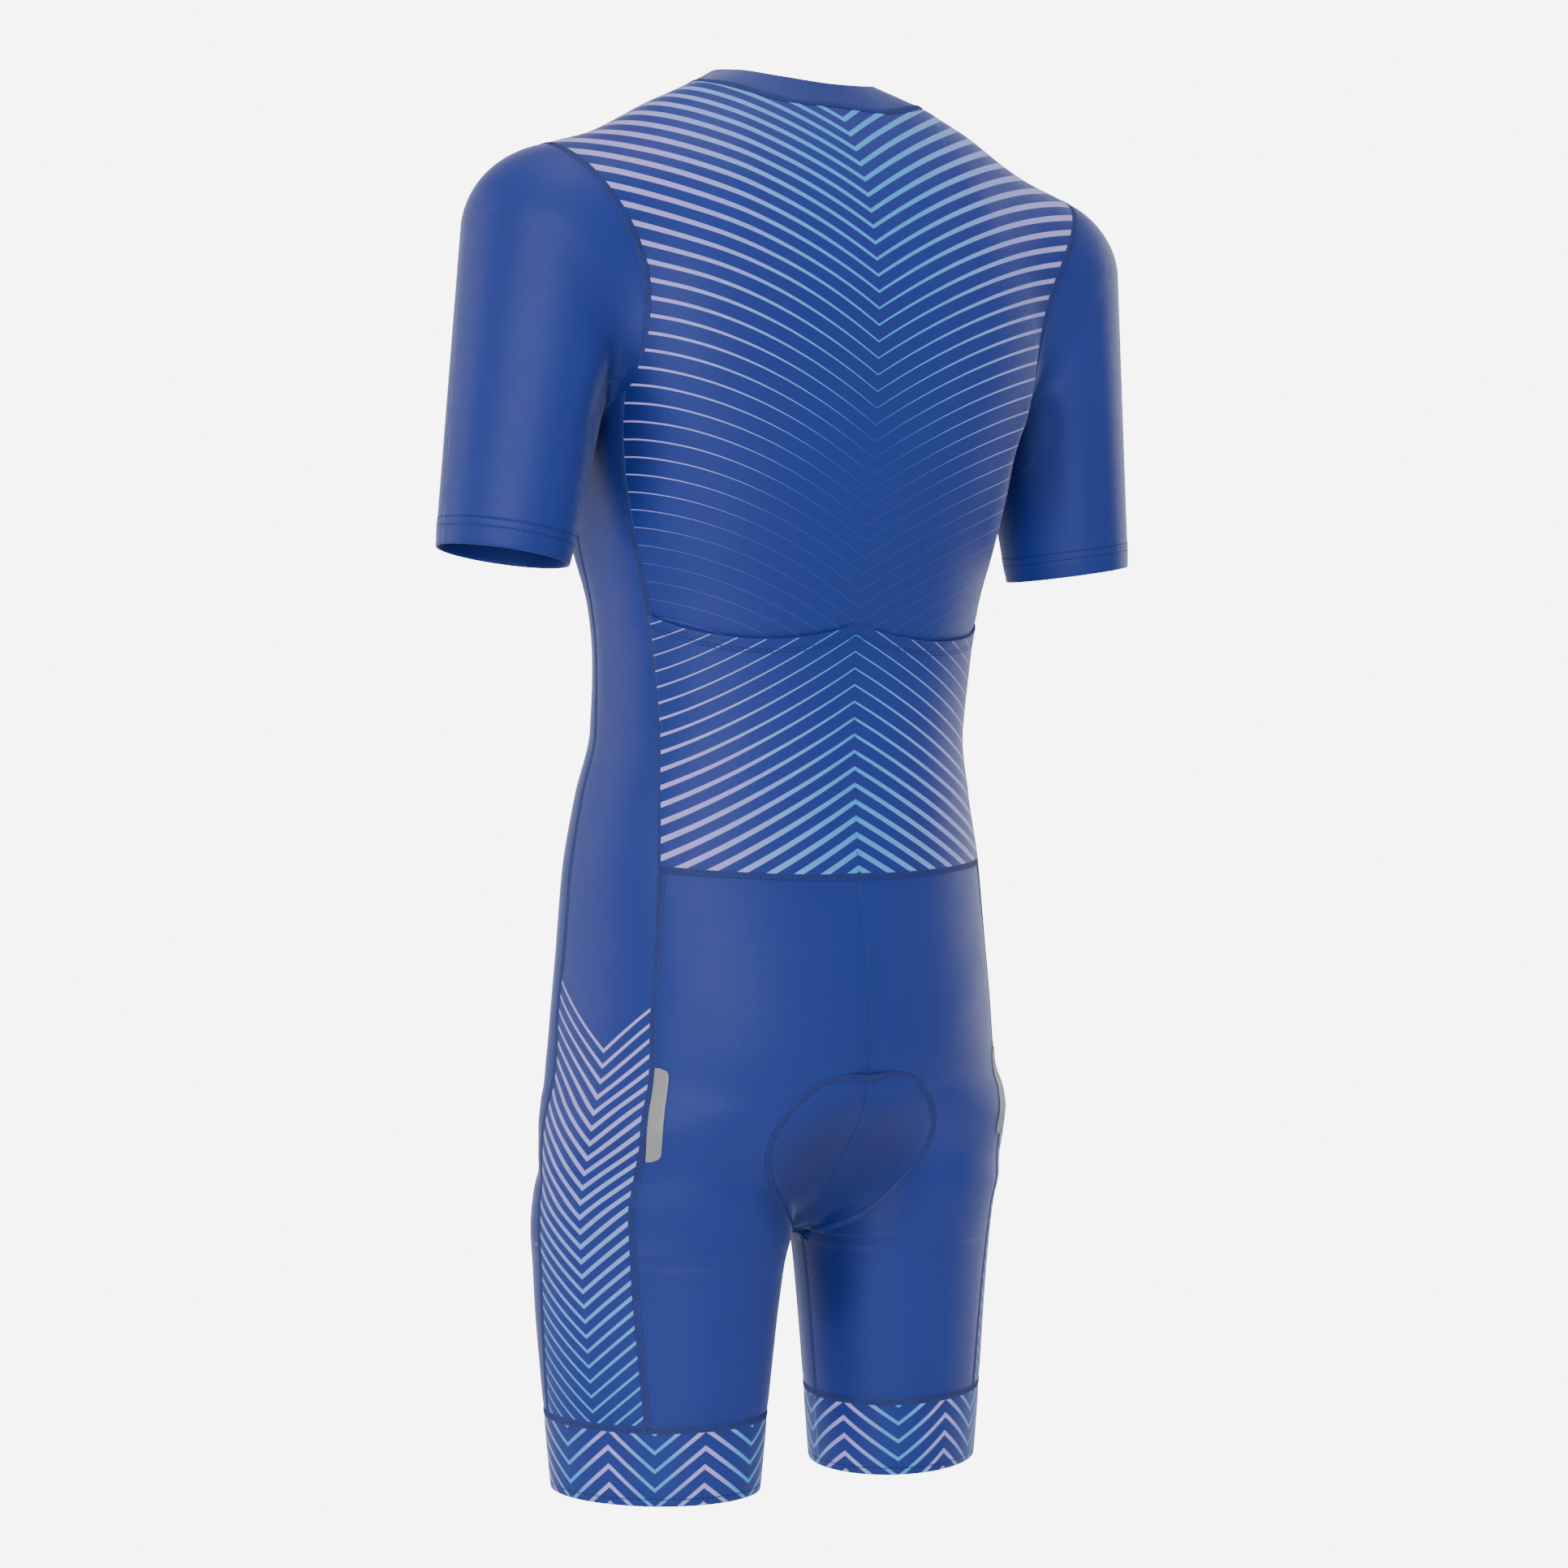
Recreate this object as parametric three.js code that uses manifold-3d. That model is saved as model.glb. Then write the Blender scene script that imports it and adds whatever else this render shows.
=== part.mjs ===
import * as THREE from 'three';
import Module from 'manifold-3d';
import { mergeVertices } from 'three/addons/utils/BufferGeometryUtils.js';

// A triathlon suit: one-piece, short sleeves, short legs, as it stands when worn
// Millimetres, +Z up, the wearer faces -Y and the wearer's left is +X
// The origin is midway between the shoulders, at the height of the neck seam's sides

// Cloth, seams and trims
const CLOTH = 1.2;
const SEAM_GAP = 0.3;
const SLEEVE_INSET = 0.5;
const COLLAR_CLOTH = 1.8;
const TAB_THICKNESS = 1.0;
const TAPE_THICKNESS = 1.0;

// Seat pad: thin at its edge, thicker in the middle, and how far it stays off the cloth
const PAD_EDGE = 2.4;
const PAD_MIDDLE = 5.0;
const PAD_TAPER = { lengthwise: 3, crosswise: 2.5 };
const PAD_CLEARANCE = 1.1;
const PAD_CROTCH_CLEARANCE = 3;
const PAD_CROTCH_REACH = 14;

// Heights of the cut
const WAIST_HEIGHT = -493.5;
const WAIST_DROP_AT_BACK = 5.5;
const WAIST_DROP_REACH = 60;
const BAND_TOP = -841;
const LEG_HEM = -889;
const ZIP_END = -440;
const CROTCH_SEARCH = [-700, -760];
const CROTCH_MARGIN = 0.5;

// The general figure that the cloth is cut for: rings of the torso
// Columns: height, half width, front depth, back depth, widest point, fullness
const TORSO_RINGS = [
  [10, 62, 20, 52, 18, 2.2],
  [0, 78, 26, 56, 22, 2.2],
  [-10, 98, 32, 60, 28, 2.2],
  [-20, 118, 38, 67, 28, 2.3],
  [-33, 138, 46, 76, 26, 2.4],
  [-51, 157, 56, 87, 24, 2.5],
  [-75, 170, 68, 98, 18, 2.7],
  [-110, 171, 86, 107, 12, 3.0],
  [-142, 168, 98, 111, 9, 3.1],
  [-180, 162, 106, 110, 8, 3.1],
  [-220, 151, 110, 107, 6, 2.9],
  [-290, 140, 104, 96, 6, 2.5],
  [-330, 131, 96, 88, 6, 2.4],
  [-360, 127, 95, 84, 3, 2.4],
  [-408, 125, 101, 83, -6, 2.35],
  [-450, 134, 105, 84, -14, 2.3],
  [-500, 143, 104, 89, -18, 2.3],
  [-550, 146, 106, 99, -22, 2.3],
  [-600, 151, 104, 105, -25, 2.25],
  [-640, 156.5, 96, 97, -24, 2.2],
  [-674, 157, 82, 74, -16, 2.2],
  [-699, 149, 60, 52, -10, 2.2],
  [-717, 126, 38, 30, -4, 2.2],
  [-726, 100, 20, 17, 0, 2.2],
  [-734, 60, 4, 4, 0, 2.2],
];

// Rings of each leg, its long axis turned from outer front to inner back
// Columns: height, centre across, centre back, long half, short half
const LEG_RINGS = [
  [-620, 76, 0, 58, 58],
  [-660, 82, -2, 74, 72],
  [-700, 87, -6, 83, 72],
  [-720, 87.5, -8, 84, 69],
  [-750, 89, -9, 81, 65],
  [-785, 90, -10, 77.7, 62],
  [-845, 90.5, -10, 72, 58],
  [-900, 90.5, -10, 68, 55],
];
const LEG_TURN = Math.PI / 4;
const LEG_FADE_HEIGHT = -640;
const LEG_FADE = 0.6;

// Each upper arm is a round cone with a domed top
const ARM_TOP = [184, 25, -108];
const ARM_END = [213, 20, -300];
const ARM_TOP_RADII = [54, 55];
const ARM_END_RADII = [41, 43];
const ARM_DOME = 54;
const ARM_OVERRUN = 1.3;

// How softly arm and torso, and leg and torso, run into each other
const ARM_BLEND = { least: 1, most: 53, from: -245, to: -72 };
const LEG_BLEND = { least: 2, most: 38, from: -742, to: -640 };

// The middle that each level's angles are taken from moves out into the leg
const MIDDLE_SHIFT = { across: 86, back: -8, from: -600, over: 130 };

// Seam between back and side, then between side and front
// Columns: height, across, back
const BACK_SIDE_SEAM = [
  [-199, 151, 57],
  [-222, 147.5, 46],
  [-250, 143.5, 41.5],
  [-300, 132.5, 40.5],
  [-352, 120.7, 39.3],
  [-408, 114.5, 38.5],
  [-447, 116, 42],
  [-493, 119, 48],
  [-557, 123.7, 51],
  [-600, 128, 52],
  [-635, 135, 56],
  [-665, 140, 56],
  [-690, 139, 48],
  [-713, 136.5, 42],
  [-763, 131.5, 38.5],
  [-889, 120.5, 38],
];
const FRONT_SIDE_SEAM = [
  [-214, 150, -12],
  [-240, 146, -20],
  [-300, 137, -26],
  [-336, 128, -27],
  [-408, 124, -30],
  [-500, 142, -28],
  [-582, 147, -32],
  [-640, 158, -25],
  [-714, 164, -29],
  [-889, 152, -35],
];

// The armhole, from the shoulder seam down the back, under the arm and up the front
// Columns: across, back, height, and the turn round the arm that its cloth runs down to
const ARMHOLE = [
  [188, 18, -50, 0],
  [190, 50, -57, 38],
  [179, 74, -76, 72],
  [163, 84, -103, 98],
  [150, 83, -132, 114],
  [147, 79, -162, 127],
  [148, 71, -184, 138],
  [151, 57, -199, 149],
  [152.5, 36, -211, 166],
  [152, 12, -217, 190],
  [150, -12, -214, 210],
  [151, -32, -199, 222],
  [154, -45, -178, 234],
  [161, -52, -148, 246],
  [171, -50, -114, 262],
  [181, -36, -82, 290],
  [187, -10, -59, 327],
];
const ARMHOLE_BACK_SIDE = 7;
const ARMHOLE_FRONT_SIDE = 10;

// The neck seam and the collar's top edge: half width, depths and drops
// The seam also spreads and sags between the middle of the back and the shoulder
const NECK_SEAM = {
  half: 76, middle: 8, back: 52, front: 70, rise: 0, backDrop: 17, frontDrop: 64,
  cornerSpread: 0.15, cornerSag: 7,
};
const COLLAR_TOP = {
  half: 58, middle: 6, back: 45, front: 58, rise: 10, backDrop: 9.4, frontDrop: 56,
  cornerSpread: 0, cornerSag: 0,
};
const CORNER_SCALE = 2.6;
const SHOULDER_SEAM_ANGLE = THREE.MathUtils.degToRad(95);

// The sleeve's hem: a tilted ring, lowest at the arm's inner side
const SLEEVE_HEM = { height: -302, tilt: -6.5 };

// Back pocket: its mouth, and how far it stands off the back at the mouth
// Columns: across, height
const POCKET_LOWEST_MOUTH = -352;
const POCKET_MOUTH = [
  [0, -342],
  [12, -345.5],
  [34, -349.7],
  [60, POCKET_LOWEST_MOUTH],
  [85, -350.3],
  [106, -346],
  [124, -337],
];
const POCKET_GAPE = 2.6;
const GAPE_ROUNDNESS = 0.7;
const GAPE_EASE = 0.6;

// Seat pad: its half width along the cloth at each height of the back, and in front
// Columns: height, half width
const PAD_BACK = [
  [-622, 26],
  [-640, 56],
  [-665, 66],
  [-688, 64],
  [-706, 52],
  [-719, 38],
  [-728, 22],
];
const PAD_CROTCH_HALF = 14;
const PAD_FRONT = [
  [-728, 20],
  [-719, 30],
  [-706, 38],
  [-688, 42],
  [-665, 40],
  [-650, 26],
];
const PAD_FRONT_TOP = -665;

// Reflective tabs beside the back side seams
const TAB = {
  heights: [-615, -622, -640, -665, -672], width: 11, corner: 4, columns: 3, lift: 0.6, margin: 0.6,
};

// Zip: half width of the slot in the cloth, tape width, slider and pull
const ZIP_SLOT = 4.4;
const TAPE_NEAR = 0.4;
const TAPE_FAR = 13;
const SLIDER = {
  height: -84, length: 11, width: 7.6, foot: -1.1, top: 1.1, bridge: 2.4, bridgeInset: 1.5,
  bridgeSink: 0.2, arch: 4.2, wall: 1.0, hingeBelow: 1,
};
const PULL = {
  length: 24, width: 6, eye: 3.4, eyeLength: 5.2, bar: 1.2, corner: 1, thickness: 1.1, lift: 0.35,
};
const ZIP_SLOPE_SPAN = 6;

// How finely each part is divided
const BACK_COLUMNS = 7;
const SIDE_COLUMNS = 4;
const FRONT_COLUMNS = 8;
const SHOULDER_COLUMNS = 4;
const UPPER_ROWS = 9;
const UPPER_ROW_EASE = 1.35;
const SLEEVE_ROWS = 8;
const COLLAR_ROWS = 2;
const POCKET_COLUMNS = 7;
const PAD_COLUMNS = 4;

// Levels that every panel shares, from the armhole down to the waist and the leg band
const SHARED_LEVELS = [-270, -300, -330, -352, -380, -410, -440, -467, WAIST_HEIGHT];
const BACK_LEVELS = [-199, -222, -246, ...SHARED_LEVELS];
const FRONT_LEVELS = [-214, -230, -249, ...SHARED_LEVELS];
const HIP_LEVELS = [-520, -550, -585, -622, -640, -665, -688, -706, -719, -728];
const LEG_LEVELS = [-748, -768, -792, -816, BAND_TOP];
const BAND_LEVELS = [BAND_TOP, -865, LEG_HEM];

// Precision of the searches for a point of the cloth
const TINY = 1e-6;
const GRADIENT_STEP = 0.05;
const SEARCH_ROUNDS = 14;
const LONGEST_MOVE = 20;
const HALVINGS = 30;
const MOUTH_ROUNDS = 4;
const OUTLINE_STEP = 4;
const CENTRE_REACH = { outer: 150, inner: -60 };

// Cloth and trim colours
const FINISH = {
  cloth: { color: 0x2c4c96, roughness: 0.55, metalness: 0 },
  band: { color: 0x3a5fae, roughness: 0.55, metalness: 0 },
  pad: { color: 0x243c78, roughness: 0.85, metalness: 0 },
  tab: { color: 0xa3a3a3, roughness: 0.35, metalness: 0.1 },
  tape: { color: 0x22376f, roughness: 0.8, metalness: 0 },
  metal: { color: 0x8f949c, roughness: 0.3, metalness: 0.9 },
};

const wasm = await Module();
wasm.setup();

// A table whose columns run smoothly between its rows without overshooting them
class SmoothTable {
  constructor(rows) {
    this.rows = [...rows].sort((a, b) => a[0] - b[0]);
    this.slopes = this.rows.map((row, i) => row.slice(1).map((_, c) => this.slopeAt(i, c + 1)));
  }

  slopeAt(i, c) {
    const { rows } = this;
    if (i === 0 || i === rows.length - 1) return 0;
    const before = rows[i][0] - rows[i - 1][0];
    const after = rows[i + 1][0] - rows[i][0];
    const rise = (rows[i][c] - rows[i - 1][c]) / before;
    const nextRise = (rows[i + 1][c] - rows[i][c]) / after;
    if (rise * nextRise <= 0) return 0;
    const w1 = 2 * after + before;
    const w2 = after + 2 * before;
    return (w1 + w2) / (w1 / rise + w2 / nextRise);
  }

  at(x) {
    const { rows, slopes } = this;
    const last = rows.length - 1;
    if (x <= rows[0][0]) return rows[0].slice(1);
    if (x >= rows[last][0]) return rows[last].slice(1);
    let i = 0;
    while (rows[i + 1][0] < x) i += 1;
    const span = rows[i + 1][0] - rows[i][0];
    const s = (x - rows[i][0]) / span;
    const h01 = s * s * (3 - 2 * s);
    const h10 = s * (1 - s) * (1 - s);
    const h11 = s * s * (s - 1);
    return slopes[i].map((slope, c) => rows[i][c + 1] * (1 - h01) + rows[i + 1][c + 1] * h01
      + span * (h10 * slope + h11 * slopes[i + 1][c]));
  }
}

const torsoTable = new SmoothTable(TORSO_RINGS);
const legTable = new SmoothTable(LEG_RINGS);
const backSideTable = new SmoothTable(BACK_SIDE_SEAM);
const frontSideTable = new SmoothTable(FRONT_SIDE_SEAM);
const pocketMouthTable = new SmoothTable(POCKET_MOUTH);
const padBackTable = new SmoothTable(PAD_BACK);
const padFrontTable = new SmoothTable(PAD_FRONT);

const clamp01 = (v) => Math.min(1, Math.max(0, v));
const smoothstep = (v) => clamp01(v) ** 2 * (3 - 2 * clamp01(v));
const blendWidth = ({ least, most, from, to }, z) => (
  least + (most - least) * smoothstep((z - from) / (to - from)));

function softMin(a, b, width) {
  const h = clamp01(0.5 + 0.5 * (b - a) / width);
  return b * (1 - h) + a * h - width * h * (1 - h);
}

// Distance-like fields of the figure: negative inside, zero on the cloth's outside
function torsoField(x, y, z) {
  const [half, front, back, middle, fullness] = torsoTable.at(z);
  const dy = y - middle;
  const depth = dy > 0 ? back - middle : front + middle;
  const distance = Math.hypot(x, dy) + TINY;
  const powers = (Math.abs(x) / half) ** fullness + (Math.abs(dy) / depth) ** fullness;
  const ratio = powers ** (1 / fullness) + TINY;
  const lowest = TORSO_RINGS[TORSO_RINGS.length - 1][0];
  return Math.max(distance * (1 - 1 / ratio), lowest - z);
}

function legField(x, y, z) {
  const [across, back, long, short] = legTable.at(z);
  const dx = Math.abs(x) - across;
  const dy = y - back;
  const u = (dx - dy) * Math.sin(LEG_TURN);
  const w = (dx + dy) * Math.cos(LEG_TURN);
  const ratio = Math.hypot(u / long, w / short) + TINY;
  const distance = Math.hypot(u, w) + TINY;
  return distance * (1 - 1 / ratio) + Math.max(0, z - LEG_FADE_HEIGHT) * LEG_FADE;
}

const armStart = new THREE.Vector3(...ARM_TOP);
const armLine = new THREE.Vector3(...ARM_END).sub(armStart);
const armLength = armLine.length();
const armAxis = armLine.clone().normalize();
const armOut = new THREE.Vector3(1, 0, 0).addScaledVector(armAxis, -armAxis.x).normalize();
const armBack = new THREE.Vector3().crossVectors(armAxis, armOut);

function armField(x, y, z) {
  const d = new THREE.Vector3(Math.abs(x), y, z).sub(armStart);
  const along = d.dot(armAxis);
  const s = THREE.MathUtils.clamp(along / armLength, 0, ARM_OVERRUN);
  const out = d.dot(armOut);
  const back = d.dot(armBack);
  const radiusOut = ARM_TOP_RADII[0] + (ARM_END_RADII[0] - ARM_TOP_RADII[0]) * s;
  const radiusBack = ARM_TOP_RADII[1] + (ARM_END_RADII[1] - ARM_TOP_RADII[1]) * s;
  const above = Math.min(0, along);
  const ratio = Math.hypot(out / radiusOut, back / radiusBack, above / ARM_DOME) + TINY;
  return (Math.hypot(out, back, above) + TINY) * (1 - 1 / ratio);
}

const bodyField = (...p) => softMin(torsoField(...p), legField(...p), blendWidth(LEG_BLEND, p[2]));
const wholeField = (...p) => softMin(bodyField(...p), armField(...p), blendWidth(ARM_BLEND, p[2]));
const trunkField = (...p) => (p[2] > ARM_BLEND.from ? wholeField(...p) : bodyField(...p));
const sleeveField = (...p) => (p[2] > ARM_BLEND.from ? wholeField(...p) : armField(...p));

function gradient(field, p) {
  const e = GRADIENT_STEP;
  return new THREE.Vector3(
    field(p.x + e, p.y, p.z) - field(p.x - e, p.y, p.z),
    field(p.x, p.y + e, p.z) - field(p.x, p.y - e, p.z),
    field(p.x, p.y, p.z + e) - field(p.x, p.y, p.z - e),
  ).divideScalar(2 * e);
}

// A point of the cloth: its place on the figure and the direction that faces out
function clothPoint(field, guess) {
  const p = guess.clone();
  for (let i = 0; i < SEARCH_ROUNDS; i += 1) {
    const g = gradient(field, p);
    const move = field(p.x, p.y, p.z) / g.lengthSq();
    p.addScaledVector(g, -THREE.MathUtils.clamp(move, -LONGEST_MOVE, LONGEST_MOVE));
  }
  return { p, n: gradient(field, p).normalize() };
}

// The middle, the centre lines and the outline of one half of the body at a height
function middleAt(z) {
  const s = smoothstep((MIDDLE_SHIFT.from - z) / MIDDLE_SHIFT.over);
  return { x: MIDDLE_SHIFT.across * s, y: MIDDLE_SHIFT.back * s };
}

function centreLine(z, side) {
  let reach = CENTRE_REACH.outer;
  while (reach > CENTRE_REACH.inner && bodyField(0, side * reach, z) > 0) reach -= 1;
  if (reach <= CENTRE_REACH.inner) return null;
  let inside = reach;
  let outside = reach + 1;
  for (let i = 0; i < HALVINGS; i += 1) {
    const half = (inside + outside) / 2;
    if (bodyField(0, side * half, z) > 0) outside = half;
    else inside = half;
  }
  return side * inside;
}

function findCrotch() {
  let [inside, outside] = CROTCH_SEARCH;
  for (let i = 0; i < HALVINGS; i += 1) {
    const half = (inside + outside) / 2;
    if (centreLine(half, 1) === null) outside = half;
    else inside = half;
  }
  const z = inside + CROTCH_MARGIN;
  return { z, y: (centreLine(z, 1) + centreLine(z, -1)) / 2 };
}

const CROTCH = findCrotch();
const LOWER_LEVELS = [WAIST_HEIGHT, ...HIP_LEVELS, CROTCH.z, ...LEG_LEVELS];

function outlinePoint(z, angle) {
  const m = middleAt(z);
  const dx = Math.cos(angle);
  const dy = Math.sin(angle);
  const isOut = (r) => m.x + dx * r < -TINY || trunkField(m.x + dx * r, m.y + dy * r, z) > 0;
  let inside = 0;
  let outside = OUTLINE_STEP;
  while (!isOut(outside)) {
    inside = outside;
    outside += OUTLINE_STEP;
  }
  for (let i = 0; i < HALVINGS; i += 1) {
    const half = (inside + outside) / 2;
    if (isOut(half)) outside = half;
    else inside = half;
  }
  const p = new THREE.Vector3(m.x + dx * inside, m.y + dy * inside, z);
  return { p, n: gradient(trunkField, p).normalize() };
}

function angleTo(z, x, y) {
  const m = middleAt(z);
  return Math.atan2(y - m.y, x - m.x);
}

function centreAngle(z, side, across = 0) {
  if (z <= CROTCH.z) {
    const turn = angleTo(z, 0, CROTCH.y);
    return turn * side > 0 ? turn : turn + side * 2 * Math.PI;
  }
  const y = centreLine(z, side);
  return angleTo(z, across, y);
}

const backSideAngle = (z) => angleTo(z, ...backSideTable.at(z));
const frontSideAngle = (z) => angleTo(z, ...frontSideTable.at(z));

function outlineRow(from, to, columns, height) {
  return Array.from({ length: columns + 1 }, (_, j) => {
    const s = j / columns;
    return outlinePoint(height(s), from + (to - from) * s);
  });
}

// Smooth closed curve through the armhole's points
const armholeCurve = new THREE.CatmullRomCurve3(
  ARMHOLE.map((row) => new THREE.Vector3(...row.slice(0, 3))), true, 'catmullrom', 0.5);

function armholeTurn(index) {
  const k = Math.floor(index);
  const next = k + 1 < ARMHOLE.length ? ARMHOLE[k + 1][3] : 360;
  return THREE.MathUtils.degToRad(ARMHOLE[k][3] + (next - ARMHOLE[k][3]) * (index - k));
}

function armholeStretch(from, to, fractions) {
  return fractions.map((s) => {
    const index = (from + (to - from) * s) % ARMHOLE.length;
    const point = clothPoint(wholeField, armholeCurve.getPoint(index / ARMHOLE.length));
    return { ...point, turn: armholeTurn(index) };
  });
}

// Rows lie closer together near the shoulder, where the cloth turns most
const steps = (count) => Array.from({ length: count + 1 }, (_, i) => i / count);
const fromShoulder = steps(UPPER_ROWS).map((s) => s ** UPPER_ROW_EASE);
const toShoulder = fromShoulder.map((s) => 1 - s).reverse();
const armholeBack = armholeStretch(0, ARMHOLE_BACK_SIDE, fromShoulder);
const armholeUnder = armholeStretch(ARMHOLE_BACK_SIDE, ARMHOLE_FRONT_SIDE, steps(SIDE_COLUMNS));
const armholeFront = armholeStretch(ARMHOLE_FRONT_SIDE, ARMHOLE.length, toShoulder);

function neckRing(ring, angle) {
  const c = Math.cos(angle);
  const depth = c > 0 ? ring.back : ring.front;
  const drop = c > 0 ? ring.backDrop : ring.frontDrop;
  const corner = c > 0 ? CORNER_SCALE * Math.sin(angle) ** 2 * c : 0;
  const wide = 1 + ring.cornerSpread * corner;
  const height = ring.rise - drop * c * c - ring.cornerSag * corner;
  return new THREE.Vector3(ring.half * Math.sin(angle) * wide, ring.middle + depth * c * wide, height);
}

const neckPoint = (angle) => clothPoint(wholeField, neckRing(NECK_SEAM, angle));

function shoulderSeam() {
  const start = neckRing(NECK_SEAM, SHOULDER_SEAM_ANGLE);
  const end = new THREE.Vector3(...ARMHOLE[0]);
  return Array.from({ length: SHOULDER_COLUMNS + 1 }, (_, j) => clothPoint(
    wholeField, start.clone().lerp(end, j / SHOULDER_COLUMNS)));
}

// Rows between a level and the top edge, pulled to the armhole on the outer side
function upperRows(bottom, top, armhole) {
  const last = bottom.length - 1;
  return Array.from({ length: UPPER_ROWS - 1 }, (_, i) => {
    const v = toShoulder[i + 1];
    const edge = armhole[i + 1].p;
    const pull = edge.clone().sub(bottom[last].p.clone().lerp(top[last].p, v));
    return bottom.map((point, j) => {
      if (j === last) return armhole[i + 1];
      const guess = point.p.clone().lerp(top[j].p, v).addScaledVector(pull, j / last);
      return clothPoint(wholeField, guess);
    });
  });
}

const mirrorPoint = ({ p, n }) => ({
  p: new THREE.Vector3(-p.x, p.y, p.z),
  n: new THREE.Vector3(-n.x, n.y, n.z),
});
const bothSides = (row) => [...row.slice(1).reverse().map(mirrorPoint), ...row];
const moveOut = ({ p, n }, distance) => ({ p: p.clone().addScaledVector(n, distance), n });

function waistDrop(z, s) {
  const nearness = Math.exp(-(((z - WAIST_HEIGHT) / WAIST_DROP_REACH) ** 2));
  return -WAIST_DROP_AT_BACK * (1 - s * s) * nearness;
}

// Half rows of each panel, from the centre line outwards
function backRow(z) {
  const row = outlineRow(centreAngle(z, 1), backSideAngle(z), BACK_COLUMNS, (s) => z + waistDrop(z, s));
  if (z > CROTCH.z) row[0].p.x = 0;
  return row;
}

function frontEdge(z) {
  return z > ZIP_END ? ZIP_SLOT : 0;
}

function frontRow(z) {
  return outlineRow(centreAngle(z, -1, frontEdge(z)), frontSideAngle(z), FRONT_COLUMNS, () => z);
}

const shoulder = shoulderSeam();
const backNeckColumns = BACK_COLUMNS - SHOULDER_COLUMNS;
const frontNeckColumns = FRONT_COLUMNS - SHOULDER_COLUMNS;
const zipNeckAngle = Math.PI - Math.asin(ZIP_SLOT / NECK_SEAM.half);

const backNeck = Array.from({ length: backNeckColumns + 1 }, (_, j) => (
  neckPoint(SHOULDER_SEAM_ANGLE * (j / backNeckColumns))));
const frontNeck = Array.from({ length: frontNeckColumns + 1 }, (_, j) => (
  neckPoint(zipNeckAngle + (SHOULDER_SEAM_ANGLE - zipNeckAngle) * (j / frontNeckColumns))));

function backPanelRows() {
  const bottom = backRow(BACK_LEVELS[0]);
  const top = [...backNeck, ...shoulder.slice(1)];
  bottom[BACK_COLUMNS] = armholeBack[UPPER_ROWS];
  const upper = upperRows(bottom, top, [...armholeBack].reverse());
  const lower = BACK_LEVELS.slice(1).map(backRow);
  return [top, ...upper.reverse(), bottom, ...lower];
}

function frontPanelRows() {
  const bottom = frontRow(FRONT_LEVELS[0]);
  const top = [...frontNeck, ...shoulder.slice(1)];
  bottom[FRONT_COLUMNS] = armholeFront[0];
  const upper = upperRows(bottom, top, armholeFront);
  const trunk = FRONT_LEVELS.slice(1).map(frontRow);
  const lower = LOWER_LEVELS.slice(1).map(frontRow);
  return [top, ...upper.reverse(), bottom, ...trunk, ...lower];
}

function seatRows() {
  return LOWER_LEVELS.map(backRow);
}

function sideRows() {
  const between = (zBack, zFront) => outlineRow(
    backSideAngle(zBack), frontSideAngle(zFront), SIDE_COLUMNS, (s) => zBack + (zFront - zBack) * s);
  const trunk = BACK_LEVELS.map((z, i) => between(z, FRONT_LEVELS[i]));
  const lower = LOWER_LEVELS.slice(1).map((z) => between(z, z));
  return [armholeUnder, ...trunk.slice(1), ...lower];
}

const bandRows = () => BAND_LEVELS.map((z) => [
  ...outlineRow(centreAngle(z, 1), backSideAngle(z), BACK_COLUMNS, () => z),
  ...outlineRow(backSideAngle(z), frontSideAngle(z), SIDE_COLUMNS, () => z).slice(1),
  ...outlineRow(frontSideAngle(z), centreAngle(z, -1), FRONT_COLUMNS, () => z).slice(1, -1),
]);

// Sleeve: from the armhole's loop down to the hem's ring
function sleeveRows() {
  const loop = [...armholeBack, ...armholeUnder.slice(1), ...armholeFront.slice(1, -1)];
  const hem = loop.map(({ turn }) => {
    const x = ARM_END[0] + ARM_END_RADII[0] * Math.cos(turn);
    const y = ARM_END[1] + ARM_END_RADII[1] * Math.sin(turn);
    const z = SLEEVE_HEM.height - SLEEVE_HEM.tilt * Math.cos(turn);
    return clothPoint(armField, new THREE.Vector3(x, y, z));
  });
  return Array.from({ length: SLEEVE_ROWS + 1 }, (_, i) => {
    const v = i / SLEEVE_ROWS;
    return loop.map((start, j) => {
      if (i === 0) return start;
      if (i === SLEEVE_ROWS) return hem[j];
      return clothPoint(sleeveField, start.p.clone().lerp(hem[j].p, v));
    });
  });
}

// Collar: a low band that leans in, open at the zip
function collarRows() {
  const angles = [
    ...Array.from({ length: frontNeckColumns }, (_, j) => (
      zipNeckAngle + (SHOULDER_SEAM_ANGLE - zipNeckAngle) * (j / frontNeckColumns))),
    ...Array.from({ length: backNeckColumns }, (_, j) => (
      SHOULDER_SEAM_ANGLE * (1 - j / backNeckColumns))),
  ];
  const left = angles.map((angle) => ({ angle, side: 1 }));
  const right = angles.map((angle) => ({ angle, side: -1 })).reverse();
  const whole = [...left, { angle: 0, side: 1 }, ...right];
  const rows = Array.from({ length: COLLAR_ROWS + 1 }, (_, i) => whole.map(({ angle, side }) => {
    const seam = neckPoint(angle).p;
    const edge = neckRing(COLLAR_TOP, angle);
    if (angle === zipNeckAngle) edge.x = ZIP_SLOT;
    const p = seam.lerp(edge, i / COLLAR_ROWS);
    p.x *= side;
    return { p, n: new THREE.Vector3() };
  }));
  const seamNormals = whole.map(({ angle, side }) => {
    const { n } = neckPoint(angle);
    n.x *= side;
    return n;
  });
  return withGridNormals(rows).map((row, i) => (
    i > 0 ? row : row.map(({ p }, j) => ({ p, n: seamNormals[j] }))));
}

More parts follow.
